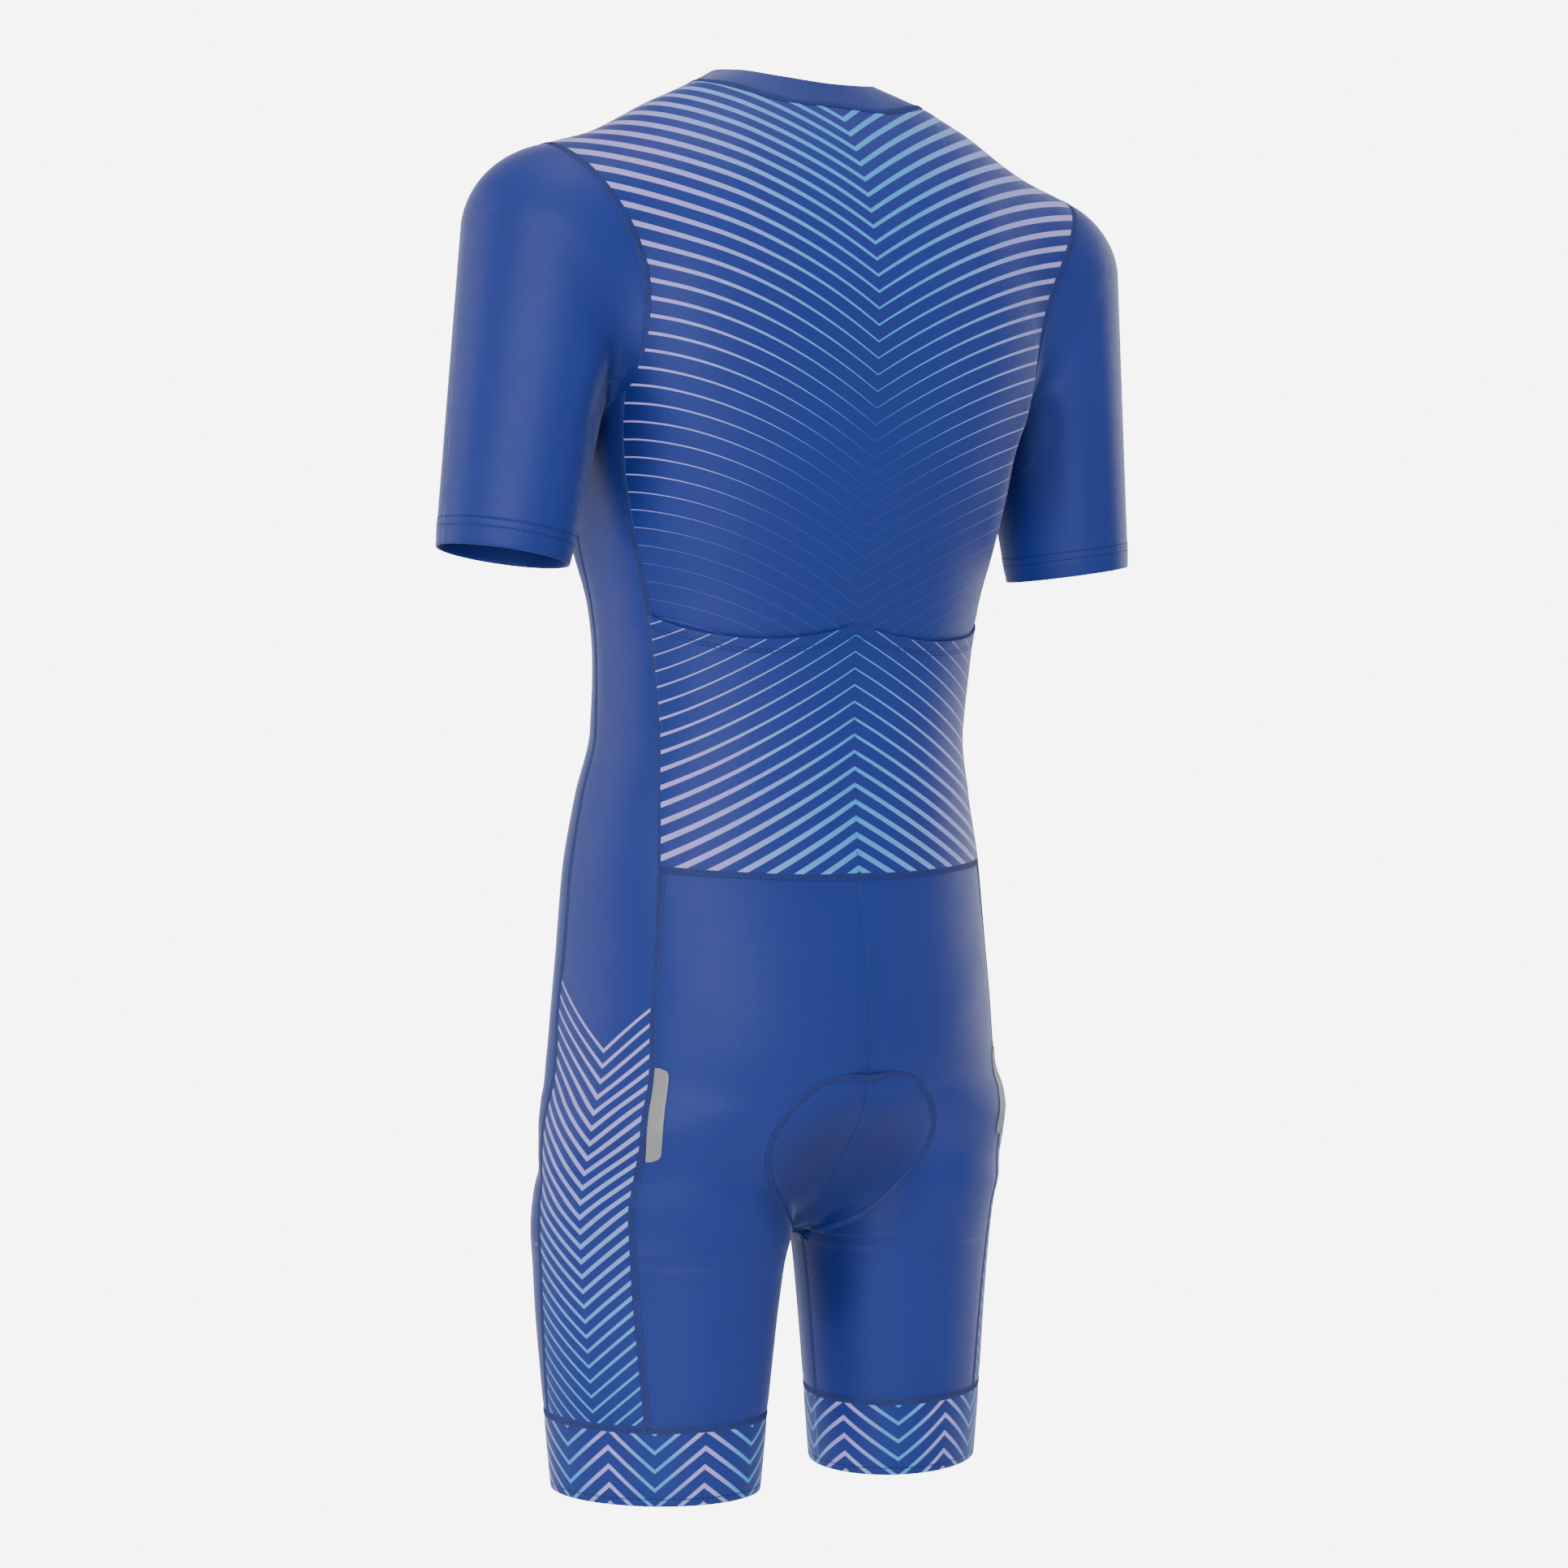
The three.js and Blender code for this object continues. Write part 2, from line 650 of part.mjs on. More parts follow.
// Directions that face away from the neck's middle, from the grid's own neighbours
function withGridNormals(rows) {
  return rows.map((row, i) => row.map((point, j) => {
    const above = rows[Math.min(i + 1, rows.length - 1)][j].p;
    const below = rows[Math.max(i - 1, 0)][j].p;
    const next = row[Math.min(j + 1, row.length - 1)].p;
    const before = row[Math.max(j - 1, 0)].p;
    const n = next.clone().sub(before).cross(above.clone().sub(below)).normalize();
    if (n.x * point.p.x + n.y * point.p.y < 0) n.negate();
    return { p: point.p, n };
  }));
}

// A point at a distance along a row's line of straight pieces
function alongRow(row, distance) {
  let left = distance;
  for (let j = 0; j < row.length - 1; j += 1) {
    const length = row[j].p.distanceTo(row[j + 1].p);
    if (left <= length || j === row.length - 2) {
      const s = left / length;
      return {
        p: row[j].p.clone().lerp(row[j + 1].p, s),
        n: row[j].n.clone().lerp(row[j + 1].n, s).normalize(),
      };
    }
    left -= length;
  }
  return row[row.length - 1];
}

// Pocket: the back panel's own lines, moved out, gaping between side seam and divider
function pocketRows() {
  const levels = BACK_LEVELS.filter((z) => z < POCKET_LOWEST_MOUTH);
  const at = (z, s) => {
    const angle = centreAngle(z, 1) + (backSideAngle(z) - centreAngle(z, 1)) * s;
    return outlinePoint(z + waistDrop(z, s), angle);
  };
  const mouth = (s) => {
    let z = POCKET_MOUTH[0][1];
    for (let i = 0; i < MOUTH_ROUNDS; i += 1) [z] = pocketMouthTable.at(at(z, s).p.x);
    return z;
  };
  const row = (place, openness) => Array.from({ length: POCKET_COLUMNS + 1 }, (_, j) => {
    const s = j / POCKET_COLUMNS;
    const bulge = POCKET_GAPE * openness * Math.sin(Math.PI * s) ** GAPE_ROUNDNESS;
    return moveOut(at(place(s), s), CLOTH + SEAM_GAP + bulge);
  });
  const height = (z) => (z - WAIST_HEIGHT) / (POCKET_LOWEST_MOUTH - WAIST_HEIGHT);
  const rows = levels.map((z) => row(() => z, height(z) ** GAPE_EASE));
  return [row(mouth, 1), ...rows].map(bothSides);
}

// Seat pad: rows along the seat, across the crotch and up the front, inside the cloth
function padRows() {
  const clearance = (z) => PAD_CLEARANCE
    + PAD_CROTCH_CLEARANCE * Math.exp(-(((z - CROTCH.z) / PAD_CROTCH_REACH) ** 2));
  const inwards = (point) => moveOut(point, -(CLOTH + clearance(point.p.z)));
  const across = (row, half) => Array.from({ length: PAD_COLUMNS + 1 }, (_, j) => (
    inwards(alongRow(row, half * (j / PAD_COLUMNS)))));
  const seat = seatRows();
  const front = LOWER_LEVELS.map(frontRow);
  const back = LOWER_LEVELS.flatMap((z, i) => (
    z > CROTCH.z && z <= PAD_BACK[0][0] ? [across(seat[i], padBackTable.at(z)[0])] : []));
  const inseam = LOWER_LEVELS.flatMap((z, i) => (z <= CROTCH.z ? [seat[i][0]] : []));
  const ahead = LOWER_LEVELS.flatMap((z, i) => (
    z > CROTCH.z && z <= PAD_FRONT_TOP ? [across(front[i], padFrontTable.at(z)[0])] : [])).reverse();
  return [...back, across(inseam, PAD_CROTCH_HALF), ...ahead].map(bothSides);
}

function padThickness(i, j, rows, columns) {
  const lengthwise = Math.min(1, PAD_TAPER.lengthwise * Math.min(i, rows - i) / rows);
  const crosswise = Math.min(1, PAD_TAPER.crosswise * Math.min(j, columns - j) / columns);
  return PAD_EDGE + (PAD_MIDDLE - PAD_EDGE) * Math.min(lengthwise, crosswise);
}

// Tab: lies on the seat panel beside the side seam, its free corners cut off
function tabRows() {
  const seat = seatRows();
  return TAB.heights.map((z, i) => {
    const k = LOWER_LEVELS.findIndex((level) => level < z) - 1;
    const s = (z - LOWER_LEVELS[k]) / (LOWER_LEVELS[k + 1] - LOWER_LEVELS[k]);
    const line = seat[k].map((point, j) => ({
      p: point.p.clone().lerp(seat[k + 1][j].p, s),
      n: point.n.clone().lerp(seat[k + 1][j].n, s).normalize(),
    })).reverse();
    const cut = i === 0 || i === TAB.heights.length - 1 ? TAB.corner : 0;
    return Array.from({ length: TAB.columns + 1 }, (_, j) => {
      const distance = TAB.margin + (TAB.width - cut) * (j / TAB.columns);
      return moveOut(alongRow(line, distance), TAB.lift + TAB_THICKNESS);
    });
  });
}

// Zip tape: follows the front's edge on the inside, from the collar to the zip's end
function tapeRows() {
  const front = frontPanelRows();
  const end = front.findIndex((row) => row[0].p.z <= ZIP_END);
  const collar = collarRows();
  const top = collar.slice(1).reverse().map((row) => row.slice(0, 2));
  const lines = [...top, ...front.slice(0, end + 1).map((row) => row.slice(0, 3))];
  return lines.map((row) => {
    const at = (x) => {
      const [a, b] = row;
      const s = (x - a.p.x) / (b.p.x - a.p.x);
      return { p: a.p.clone().lerp(b.p, s), n: a.n.clone() };
    };
    return [at(TAPE_NEAR), at(TAPE_FAR)].map((point) => moveOut(point, -(COLLAR_CLOTH + SEAM_GAP)));
  });
}

// Closed wall: the outer grid, the same grid moved in, and rims along its open edges
function wall(rows, thickness, options = {}) {
  const { closed = false, centre = false, symmetric = false, inset = SEAM_GAP / 2 } = options;
  const depth = typeof thickness === 'function' ? thickness : () => thickness;
  const lastRow = rows.length - 1;
  const lastColumn = rows[0].length - 1;
  const nudge = (point, toward) => {
    const step = toward.p.clone().sub(point.p);
    return step.setLength(Math.min(inset, step.length() / 2));
  };
  const outer = rows.map((row, i) => row.map((point, j) => {
    const p = point.p.clone();
    if (i === 0) p.add(nudge(point, rows[1][j]));
    if (i === lastRow) p.add(nudge(point, rows[lastRow - 1][j]));
    if (!closed && j === 0) p.add(nudge(point, row[1]));
    if (!closed && j === lastColumn) p.add(nudge(point, row[lastColumn - 1]));
    return p;
  }));
  const inner = outer.map((row, i) => row.map((p, j) => (
    p.clone().addScaledVector(rows[i][j].n, -depth(i, j, lastRow, lastColumn)))));
  if (centre) {
    [...outer, ...inner].flat().forEach((p) => p.setX(Math.max(p.x, inset)));
  }
  const columns = lastColumn + 1;
  const index = (layer, i, j) => (layer * rows.length + i) * columns + (j % columns);
  const faces = [];
  const quad = (a, b, c, d, flipped = false) => {
    if (flipped) faces.push(b, c, d, b, d, a);
    else faces.push(a, b, c, a, c, d);
  };
  const spans = closed ? columns : lastColumn;
  for (let j = 0; j < spans; j += 1) {
    const flipped = symmetric && j < spans / 2;
    for (let i = 0; i < lastRow; i += 1) {
      quad(index(0, i, j), index(0, i + 1, j), index(0, i + 1, j + 1), index(0, i, j + 1), flipped);
      quad(index(1, i + 1, j + 1), index(1, i + 1, j), index(1, i, j), index(1, i, j + 1), flipped);
    }
    quad(index(0, 0, j), index(0, 0, j + 1), index(1, 0, j + 1), index(1, 0, j), flipped);
    const [outerEdge, innerEdge] = [0, 1].map((layer) => index(layer, lastRow, j));
    const [outerNext, innerNext] = [0, 1].map((layer) => index(layer, lastRow, j + 1));
    quad(innerNext, outerNext, outerEdge, innerEdge, flipped);
  }
  for (let i = 0; !closed && i < lastRow; i += 1) {
    quad(index(0, i, 0), index(1, i, 0), index(1, i + 1, 0), index(0, i + 1, 0));
    const [outerEdge, innerEdge] = [0, 1].map((layer) => index(layer, i, lastColumn));
    const [outerNext, innerNext] = [0, 1].map((layer) => index(layer, i + 1, lastColumn));
    quad(outerEdge, outerNext, innerNext, innerEdge);
  }
  return solidGeometry([...outer, ...inner].flat(), faces);
}

// Triangles turned so that the solid's volume is positive
function solidGeometry(points, faces) {
  const volume = faces.reduce((sum, _, k) => (k % 3 ? sum : sum + points[faces[k]].dot(
    points[faces[k + 1]].clone().cross(points[faces[k + 2]]))), 0);
  if (volume < 0) faces.reverse();
  const geometry = new THREE.BufferGeometry();
  const places = points.flatMap((p) => p.toArray());
  geometry.setAttribute('position', new THREE.Float32BufferAttribute(places, 3));
  geometry.setIndex(faces);
  return geometry;
}

const group = new THREE.Group();

function addMesh(name, geometry, finish) {
  const mesh = new THREE.Mesh(geometry, new THREE.MeshStandardMaterial(FINISH[finish]));
  mesh.name = name;
  group.add(mesh);
  return mesh;
}

function addPair(name, rows, thickness, finish, options) {
  const left = wall(rows, thickness, options);
  const right = left.clone().applyMatrix4(new THREE.Matrix4().makeScale(-1, 1, 1));
  const index = right.getIndex().array;
  for (let k = 0; k < index.length; k += 3) [index[k], index[k + 1]] = [index[k + 1], index[k]];
  addMesh(`${name}_left`, left, finish);
  addMesh(`${name}_right`, right, finish);
}

addMesh('back_panel', wall(backPanelRows().map(bothSides), CLOTH, { symmetric: true }), 'cloth');
addMesh('back_pocket', wall(pocketRows(), CLOTH, { symmetric: true }), 'cloth');
addPair('front', frontPanelRows(), CLOTH, 'cloth', { centre: true });
addPair('side', sideRows(), CLOTH, 'cloth');
addPair('seat', seatRows(), CLOTH, 'cloth', { centre: true });
addPair('leg_band', bandRows(), CLOTH, 'band', { closed: true });
addPair('sleeve', sleeveRows(), CLOTH, 'cloth', { closed: true, inset: SLEEVE_INSET });
addMesh('collar', wall(collarRows(), COLLAR_CLOTH, { symmetric: true }), 'cloth');
addMesh('seat_pad', wall(padRows(), padThickness, { symmetric: true }), 'pad');
addPair('tab', tabRows(), TAB_THICKNESS, 'tab');
addPair('zip_tape', tapeRows(), TAPE_THICKNESS, 'tape');

// Slider and pull, in a frame of their own: across, down along the zip, and out
function asSolid(geometry) {
  const plain = geometry.clone();
  plain.deleteAttribute('normal');
  plain.deleteAttribute('uv');
  const merged = mergeVertices(plain);
  const mesh = new wasm.Mesh({
    numProp: 3,
    vertProperties: Float32Array.from(merged.getAttribute('position').array),
    triVerts: Uint32Array.from(merged.getIndex().array),
  });
  return new wasm.Manifold(mesh);
}

function fromSolid(solid) {
  const mesh = solid.getMesh();
  const geometry = new THREE.BufferGeometry();
  geometry.setAttribute('position', new THREE.Float32BufferAttribute(mesh.vertProperties, 3));
  geometry.setIndex(Array.from(mesh.triVerts));
  return geometry;
}

function extruded(shape, width) {
  const geometry = new THREE.ExtrudeGeometry(shape, { depth: width, bevelEnabled: false });
  return geometry.translate(0, 0, -width / 2);
}

function block(x0, y0, x1, y1) {
  const corners = [[x0, y0], [x1, y0], [x1, y1], [x0, y1]];
  return new THREE.Shape(corners.map(([x, y]) => new THREE.Vector2(x, y)));
}

// Side view of the slider: down is +X, out is +Y
function sliderGeometry() {
  const half = SLIDER.length / 2;
  const base = block(-half, SLIDER.foot, half, SLIDER.top);
  const reach = half - SLIDER.bridgeInset;
  const gap = reach - SLIDER.wall;
  const bridge = block(-reach, SLIDER.top - SLIDER.bridgeSink, reach, SLIDER.arch);
  bridge.holes.push(block(-gap, SLIDER.top, gap, SLIDER.arch - SLIDER.wall));
  const foot = asSolid(extruded(base, SLIDER.width));
  return fromSolid(foot.add(asSolid(extruded(bridge, SLIDER.bridge))));
}

// Front view of the pull: across is +X, down is -Y, its eye round the bridge
function pullGeometry() {
  const half = PULL.width / 2;
  const tip = PULL.length;
  const top = PULL.bar / 2;
  const outline = new THREE.Shape();
  outline.moveTo(-half + PULL.corner, top);
  outline.lineTo(half - PULL.corner, top);
  outline.lineTo(half, top - PULL.corner);
  outline.lineTo(half, -tip + half);
  outline.absarc(0, -tip + half, half, 0, -Math.PI, true);
  outline.lineTo(-half, top - PULL.corner);
  outline.closePath();
  const eye = PULL.eye / 2;
  outline.holes.push(block(-eye, -top - PULL.eyeLength, eye, -top));
  return extruded(outline, PULL.thickness);
}

const zipPoint = outlinePoint(SLIDER.height, -Math.PI / 2);
const zipAbove = outlinePoint(SLIDER.height + ZIP_SLOPE_SPAN, -Math.PI / 2);
const down = zipPoint.p.clone().sub(zipAbove.p).normalize();
const across = new THREE.Vector3(1, 0, 0);
const out = new THREE.Vector3().crossVectors(down, across).normalize();
const hinge = zipPoint.p.clone().addScaledVector(down, SLIDER.hingeBelow)
  .addScaledVector(out, SLIDER.top + PULL.lift + PULL.thickness / 2);

const slider = addMesh('zip_slider', sliderGeometry(), 'metal');
slider.applyMatrix4(new THREE.Matrix4().makeBasis(down, out, across.clone().negate()));
slider.position.copy(zipPoint.p);

const pull = addMesh('zip_pull', pullGeometry(), 'metal');
pull.applyMatrix4(new THREE.Matrix4().makeBasis(across, down.clone().negate(), out));
pull.position.copy(hinge);

export default group;
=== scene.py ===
# %% [markdown]
# A triathlon suit in stretch knit, as it stands when worn, with nobody in it.
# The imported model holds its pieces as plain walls. This lesson gives each piece its fine form,
# its seams and its finish, in the same place and at the same size.
# Everything is worked out in millimetres and only becomes metres when a mesh is made.

import math

import bmesh
import bpy
import numpy as np
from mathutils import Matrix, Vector


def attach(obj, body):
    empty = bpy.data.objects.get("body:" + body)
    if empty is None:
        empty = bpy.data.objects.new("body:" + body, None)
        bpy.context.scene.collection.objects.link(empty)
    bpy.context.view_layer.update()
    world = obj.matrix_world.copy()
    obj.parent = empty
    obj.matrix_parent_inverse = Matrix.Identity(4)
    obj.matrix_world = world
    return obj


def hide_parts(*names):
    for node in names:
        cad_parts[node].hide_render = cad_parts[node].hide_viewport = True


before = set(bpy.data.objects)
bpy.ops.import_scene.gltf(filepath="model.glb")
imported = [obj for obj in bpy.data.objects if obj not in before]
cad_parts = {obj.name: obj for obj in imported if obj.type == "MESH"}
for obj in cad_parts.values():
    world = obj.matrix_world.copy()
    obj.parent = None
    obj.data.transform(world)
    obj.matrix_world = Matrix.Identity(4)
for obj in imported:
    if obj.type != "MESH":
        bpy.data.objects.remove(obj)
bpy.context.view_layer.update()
MM = 0.001
TINY = 1e-6
WELD = 1e-6
TAU = 2 * math.pi


def put(name, data):
    """A new object in the scene, at the origin and unturned."""
    thing = bpy.data.objects.new(name, data)
    bpy.context.scene.collection.objects.link(thing)
    return thing


# %% [markdown]
# The camera stands behind the suit and to its left, about two metres off, a little lower than
# its chest. A long lens keeps the sides nearly parallel, as in a catalogue picture. It could be
# aimed by a constraint, but a plain rotation is easier to read back.

# %% Camera
CAMERA_PLACE = Vector((1.086, 1.738, -0.408))
CAMERA_AIM = Vector((0, 0, -0.4427))
LENS = 72.67

camera_data = bpy.data.cameras.new("camera")
camera_data.lens = LENS
camera_data.clip_end = 100
camera = put("camera", camera_data)
camera.location = CAMERA_PLACE
camera.rotation_euler = (CAMERA_AIM - CAMERA_PLACE).to_track_quat("-Z", "Y").to_euler()
bpy.context.scene.camera = camera
print("camera", [round(v, 3) for v in camera.location])

# %% [markdown]
# Smooth cloth shows its form by the light that slides off its edges. A pale room fills the
# shade. One large soft panel beside the camera gives the broad light down the back, two tall
# ones behind the suit give the pale rim on both sides, and one above lights the shoulders. They
# could be one big sky, but panels give the slow change from light to dark across each piece.
# The floor is a round sheet, small enough to leave the camera's view clear.

# %% Studio
FLOOR_HEIGHT = -1.55
FLOOR_RADIUS = 1.9
FLOOR_CORNERS = 96
ROOM_LIGHT = 0.55
SEEN_LIGHT = 7.0
# Columns: name, place, what it is aimed at, size, power
PANELS = [
    ("key", (2.0, 2.44, 0.1), (0, 0, -0.45), (1.3, 2.2), 60),
    ("left rim", (1.9, -1.9, 0.0), (0, 0, -0.45), (0.6, 2.4), 20),
    ("right rim", (-2.6, -0.6, 0.0), (0, 0, -0.45), (0.6, 2.4), 18),
    ("top", (0.2, 0.6, 2.4), (0, 0, -0.2), (1.6, 1.6), 24),
]


def add_panel(name, place, aim, size, power):
    light = bpy.data.lights.new(name, "AREA")
    light.shape = "RECTANGLE"
    light.size, light.size_y = size
    light.energy = power
    panel = put(name, light)
    panel.location = place
    panel.rotation_euler = (Vector(aim) - Vector(place)).to_track_quat("-Z", "Y").to_euler()


for panel_row in PANELS:
    add_panel(*panel_row)

world = bpy.data.worlds.new("white room")
world.use_nodes = True
room = world.node_tree
room.nodes["Background"].inputs["Color"].default_value = (1, 1, 1, 1)
seen = room.nodes.new("ShaderNodeLightPath").outputs["Is Camera Ray"]
strength = room.nodes.new("ShaderNodeMapRange")
strength.inputs["To Min"].default_value = ROOM_LIGHT
strength.inputs["To Max"].default_value = SEEN_LIGHT
room.links.new(seen, strength.inputs["Value"])
room.links.new(strength.outputs["Result"], room.nodes["Background"].inputs["Strength"])
bpy.context.scene.world = world

floor_turns = np.linspace(0, TAU, FLOOR_CORNERS, endpoint=False)
floor_corners = [
    (FLOOR_RADIUS * math.cos(t), FLOOR_RADIUS * math.sin(t), FLOOR_HEIGHT) for t in floor_turns
]
floor_mesh = bpy.data.meshes.new("floor")
floor_mesh.from_pydata(floor_corners, [], [range(FLOOR_CORNERS)])
floor = put("floor", floor_mesh)
print("lights", len(PANELS), "floor at", FLOOR_HEIGHT)

# %% [markdown]
# The suit is cut for a general figure. Rings of the torso and of the legs, and a round cone for
# each upper arm, run into each other softly. Each is a function that is negative inside and
# zero on the cloth, so any point can be pulled onto the cloth and knows which way is out. A
# sculpted mesh would do as well, but with functions every panel lies on one and the same form,
# and the seams between panels close by themselves.

# %% The figure's rings
# Columns: height, half width, front depth, back depth, widest point, fullness
TORSO_RINGS = [
    (10, 62, 20, 52, 18, 2.2),
    (0, 78, 26, 56, 22, 2.2),
    (-10, 98, 32, 60, 28, 2.2),
    (-20, 118, 38, 67, 28, 2.3),
    (-33, 138, 46, 76, 26, 2.4),
    (-51, 157, 56, 87, 24, 2.5),
    (-75, 170, 68, 98, 18, 2.7),
    (-110, 171, 86, 107, 12, 3.0),
    (-142, 168, 98, 111, 9, 3.1),
    (-180, 162, 106, 110, 8, 3.1),
    (-220, 151, 110, 107, 6, 2.9),
    (-290, 140, 104, 96, 6, 2.5),
    (-330, 131, 96, 88, 6, 2.4),
    (-360, 127, 95, 84, 3, 2.4),
    (-408, 125, 101, 83, -6, 2.35),
    (-450, 134, 105, 84, -14, 2.3),
    (-500, 143, 104, 89, -18, 2.3),
    (-550, 146, 106, 99, -22, 2.3),
    (-600, 151, 104, 105, -25, 2.25),
    (-640, 156.5, 96, 97, -24, 2.2),
    (-674, 157, 82, 74, -16, 2.2),
    (-699, 149, 60, 52, -10, 2.2),
    (-717, 126, 38, 30, -4, 2.2),
    (-726, 100, 20, 17, 0, 2.2),
    (-734, 60, 4, 4, 0, 2.2),
]
# Columns: height, centre across, centre back, long half, short half
LEG_RINGS = [
    (-620, 76, 0, 58, 58),
    (-660, 82, -2, 74, 72),
    (-700, 87, -6, 83, 72),
    (-720, 87.5, -8, 84, 69),
    (-750, 89, -9, 81, 65),
    (-785, 90, -10, 77.7, 62),
    (-845, 90.5, -10, 72, 58),
    (-900, 90.5, -10, 68, 55),
]
LEG_TURN = math.radians(45)
LEG_FADE_HEIGHT = -640
LEG_FADE = 0.6
ARM_TOP = np.array([184.0, 25, -108])
ARM_END = np.array([213.0, 20, -300])
ARM_TOP_RADII = np.array([54.0, 55])
ARM_END_RADII = np.array([41.0, 43])
ARM_DOME = 54
ARM_OVERRUN = 1.3
ARM_BLEND = {"least": 1, "most": 53, "low": -245, "high": -72}
LEG_BLEND = {"least": 2, "most": 38, "low": -742, "high": -640}


def hermite(values, slopes, places, targets):
    """Cubic curves through values at places, with those slopes, read at targets."""
    t = np.clip(targets, places[0], places[-1])
    i = np.clip(np.searchsorted(places, t, side="right") - 1, 0, len(places) - 2)
    more = (1,) * (values.ndim - 1)
    span = (places[i + 1] - places[i]).reshape(t.shape + more)
    s = (t - places[i]).reshape(t.shape + more) / span
    rise = s * s * (3 - 2 * s)
    leave = s * (1 - s) * (1 - s)
    arrive = s * s * (s - 1)
    line = values[i] * (1 - rise) + values[i + 1] * rise
    return line + span * (leave * slopes[i] + arrive * slopes[i + 1])


def smooth_table(rows):
    """A function of the first column, smooth through the rows and never past them."""
    table = np.array(sorted(rows), float)
    places = table[:, 0]
    values = table[:, 1:]
    gap = np.diff(places)[:, None]
    rise = np.diff(values, axis=0) / gap
    before, after = gap[:-1], gap[1:]
    w1 = 2 * after + before
    w2 = after + 2 * before
    same_way = rise[:-1] * rise[1:] > 0
    safe = np.where(np.abs(rise) > TINY, np.abs(rise), TINY)
    mean = (w1 + w2) / (w1 / safe[:-1] + w2 / safe[1:])
    slopes = np.zeros_like(values)
    slopes[1:-1] = np.where(same_way, mean * np.sign(rise[1:]), 0)
    return lambda t: hermite(values, slopes, places, np.asarray(t, float))


torso_at = smooth_table(TORSO_RINGS)
leg_at = smooth_table(LEG_RINGS)
print("chest is", 2 * torso_at(np.array([-180.0]))[0, 0], "mm wide")


# %% The form as functions
def smoothstep(v):
    c = np.clip(v, 0, 1)
    return c * c * (3 - 2 * c)


def soft_min(a, b, width):
    h = np.clip(0.5 + 0.5 * (b - a) / width, 0, 1)
    return b * (1 - h) + a * h - width * h * (1 - h)


def blend_width(blend, z):
    share = smoothstep((z - blend["low"]) / (blend["high"] - blend["low"]))
    return blend["least"] + (blend["most"] - blend["least"]) * share


def torso_field(p):
    half, front, back, middle, fullness = np.moveaxis(torso_at(p[..., 2]), -1, 0)
    dy = p[..., 1] - middle
    depth = np.where(dy > 0, back - middle, front + middle)
    distance = np.hypot(p[..., 0], dy) + TINY
    powers = (np.abs(p[..., 0]) / half) ** fullness + (np.abs(dy) / depth) ** fullness
    ratio = powers ** (1 / fullness) + TINY
    return np.maximum(distance * (1 - 1 / ratio), TORSO_RINGS[-1][0] - p[..., 2])


def leg_field(p):
    across, back, long, short = np.moveaxis(leg_at(p[..., 2]), -1, 0)
    dx = np.abs(p[..., 0]) - across
    dy = p[..., 1] - back
    u = (dx - dy) * math.sin(LEG_TURN)
    w = (dx + dy) * math.cos(LEG_TURN)
    ratio = np.hypot(u / long, w / short) + TINY
    fade = np.maximum(0, p[..., 2] - LEG_FADE_HEIGHT) * LEG_FADE
    return (np.hypot(u, w) + TINY) * (1 - 1 / ratio) + fade


arm_line = ARM_END - ARM_TOP
arm_length = np.linalg.norm(arm_line)
arm_axis = arm_line / arm_length
arm_out = np.array([1.0, 0, 0]) - arm_axis * arm_axis[0]
arm_out /= np.linalg.norm(arm_out)
arm_back = np.cross(arm_axis, arm_out)


def arm_field(p):
    d = np.stack([np.abs(p[..., 0]), p[..., 1], p[..., 2]], -1) - ARM_TOP
    along = d @ arm_axis
    share = np.clip(along / arm_length, 0, ARM_OVERRUN)[..., None]
    radii = ARM_TOP_RADII + (ARM_END_RADII - ARM_TOP_RADII) * share
    out, back, above = d @ arm_out, d @ arm_back, np.minimum(0, along)
    distance = np.sqrt(out**2 + back**2 + above**2) + TINY
    scaled = (out / radii[..., 0]) ** 2 + (back / radii[..., 1]) ** 2 + (above / ARM_DOME) ** 2
    return distance * (1 - 1 / (np.sqrt(scaled) + TINY))


def run_together(first, second, blend):
    """One form from two that run into each other softly."""
    return lambda p: soft_min(first(p), second(p), blend_width(blend, p[..., 2]))


def with_shoulders(lower):
    """The whole form down to the armpit, and below it only the trunk or the arm."""
    return lambda p: np.where(p[..., 2] > ARM_BLEND["low"], whole_field(p), lower(p))


body_field = run_together(torso_field, leg_field, LEG_BLEND)
whole_field = run_together(body_field, arm_field, ARM_BLEND)
trunk_field, sleeve_field = with_shoulders(body_field), with_shoulders(arm_field)
print("arm runs", round(float(arm_length)), "mm from shoulder to hem")

# %% Points pulled onto the form
GRADIENT_STEP = 0.05
LONGEST_MOVE = 20
FIRST_ROUNDS = 14
LATER_ROUNDS = 3


def gradient(field, p):
    steps = GRADIENT_STEP * np.eye(3).reshape((3,) + (1,) * (p.ndim - 1) + (3,))
    return np.moveaxis(field(p + steps) - field(p - steps), 0, -1) / (2 * GRADIENT_STEP)


def pull_on(field, guess, rounds=FIRST_ROUNDS):
    """Points of the cloth nearest to the guesses."""
    p = np.array(guess, float)
    for _ in range(rounds):
        g = gradient(field, p)
        move = field(p) / (g * g).sum(-1)
        p -= g * np.clip(move, -LONGEST_MOVE, LONGEST_MOVE)[..., None]
    return p


def unit(v):
    return v / (np.linalg.norm(v, axis=-1, keepdims=True) + TINY)


middle_of_back = pull_on(whole_field, np.array([0, 100.0, -180]))
print("the back is", round(float(middle_of_back[1])), "mm behind the origin")

# %% [markdown]
# The panels are bounded by seams. Each seam is a short table along the height, and the armhole
# is a closed loop of points. Between two seams a panel is a grid: rows run round the body from
# seam to seam, and columns run down it. A first grid is coarse, with the same rows and columns
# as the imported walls. Then a smooth curve through it gives the fine one, and its points are
# pulled onto the form again.

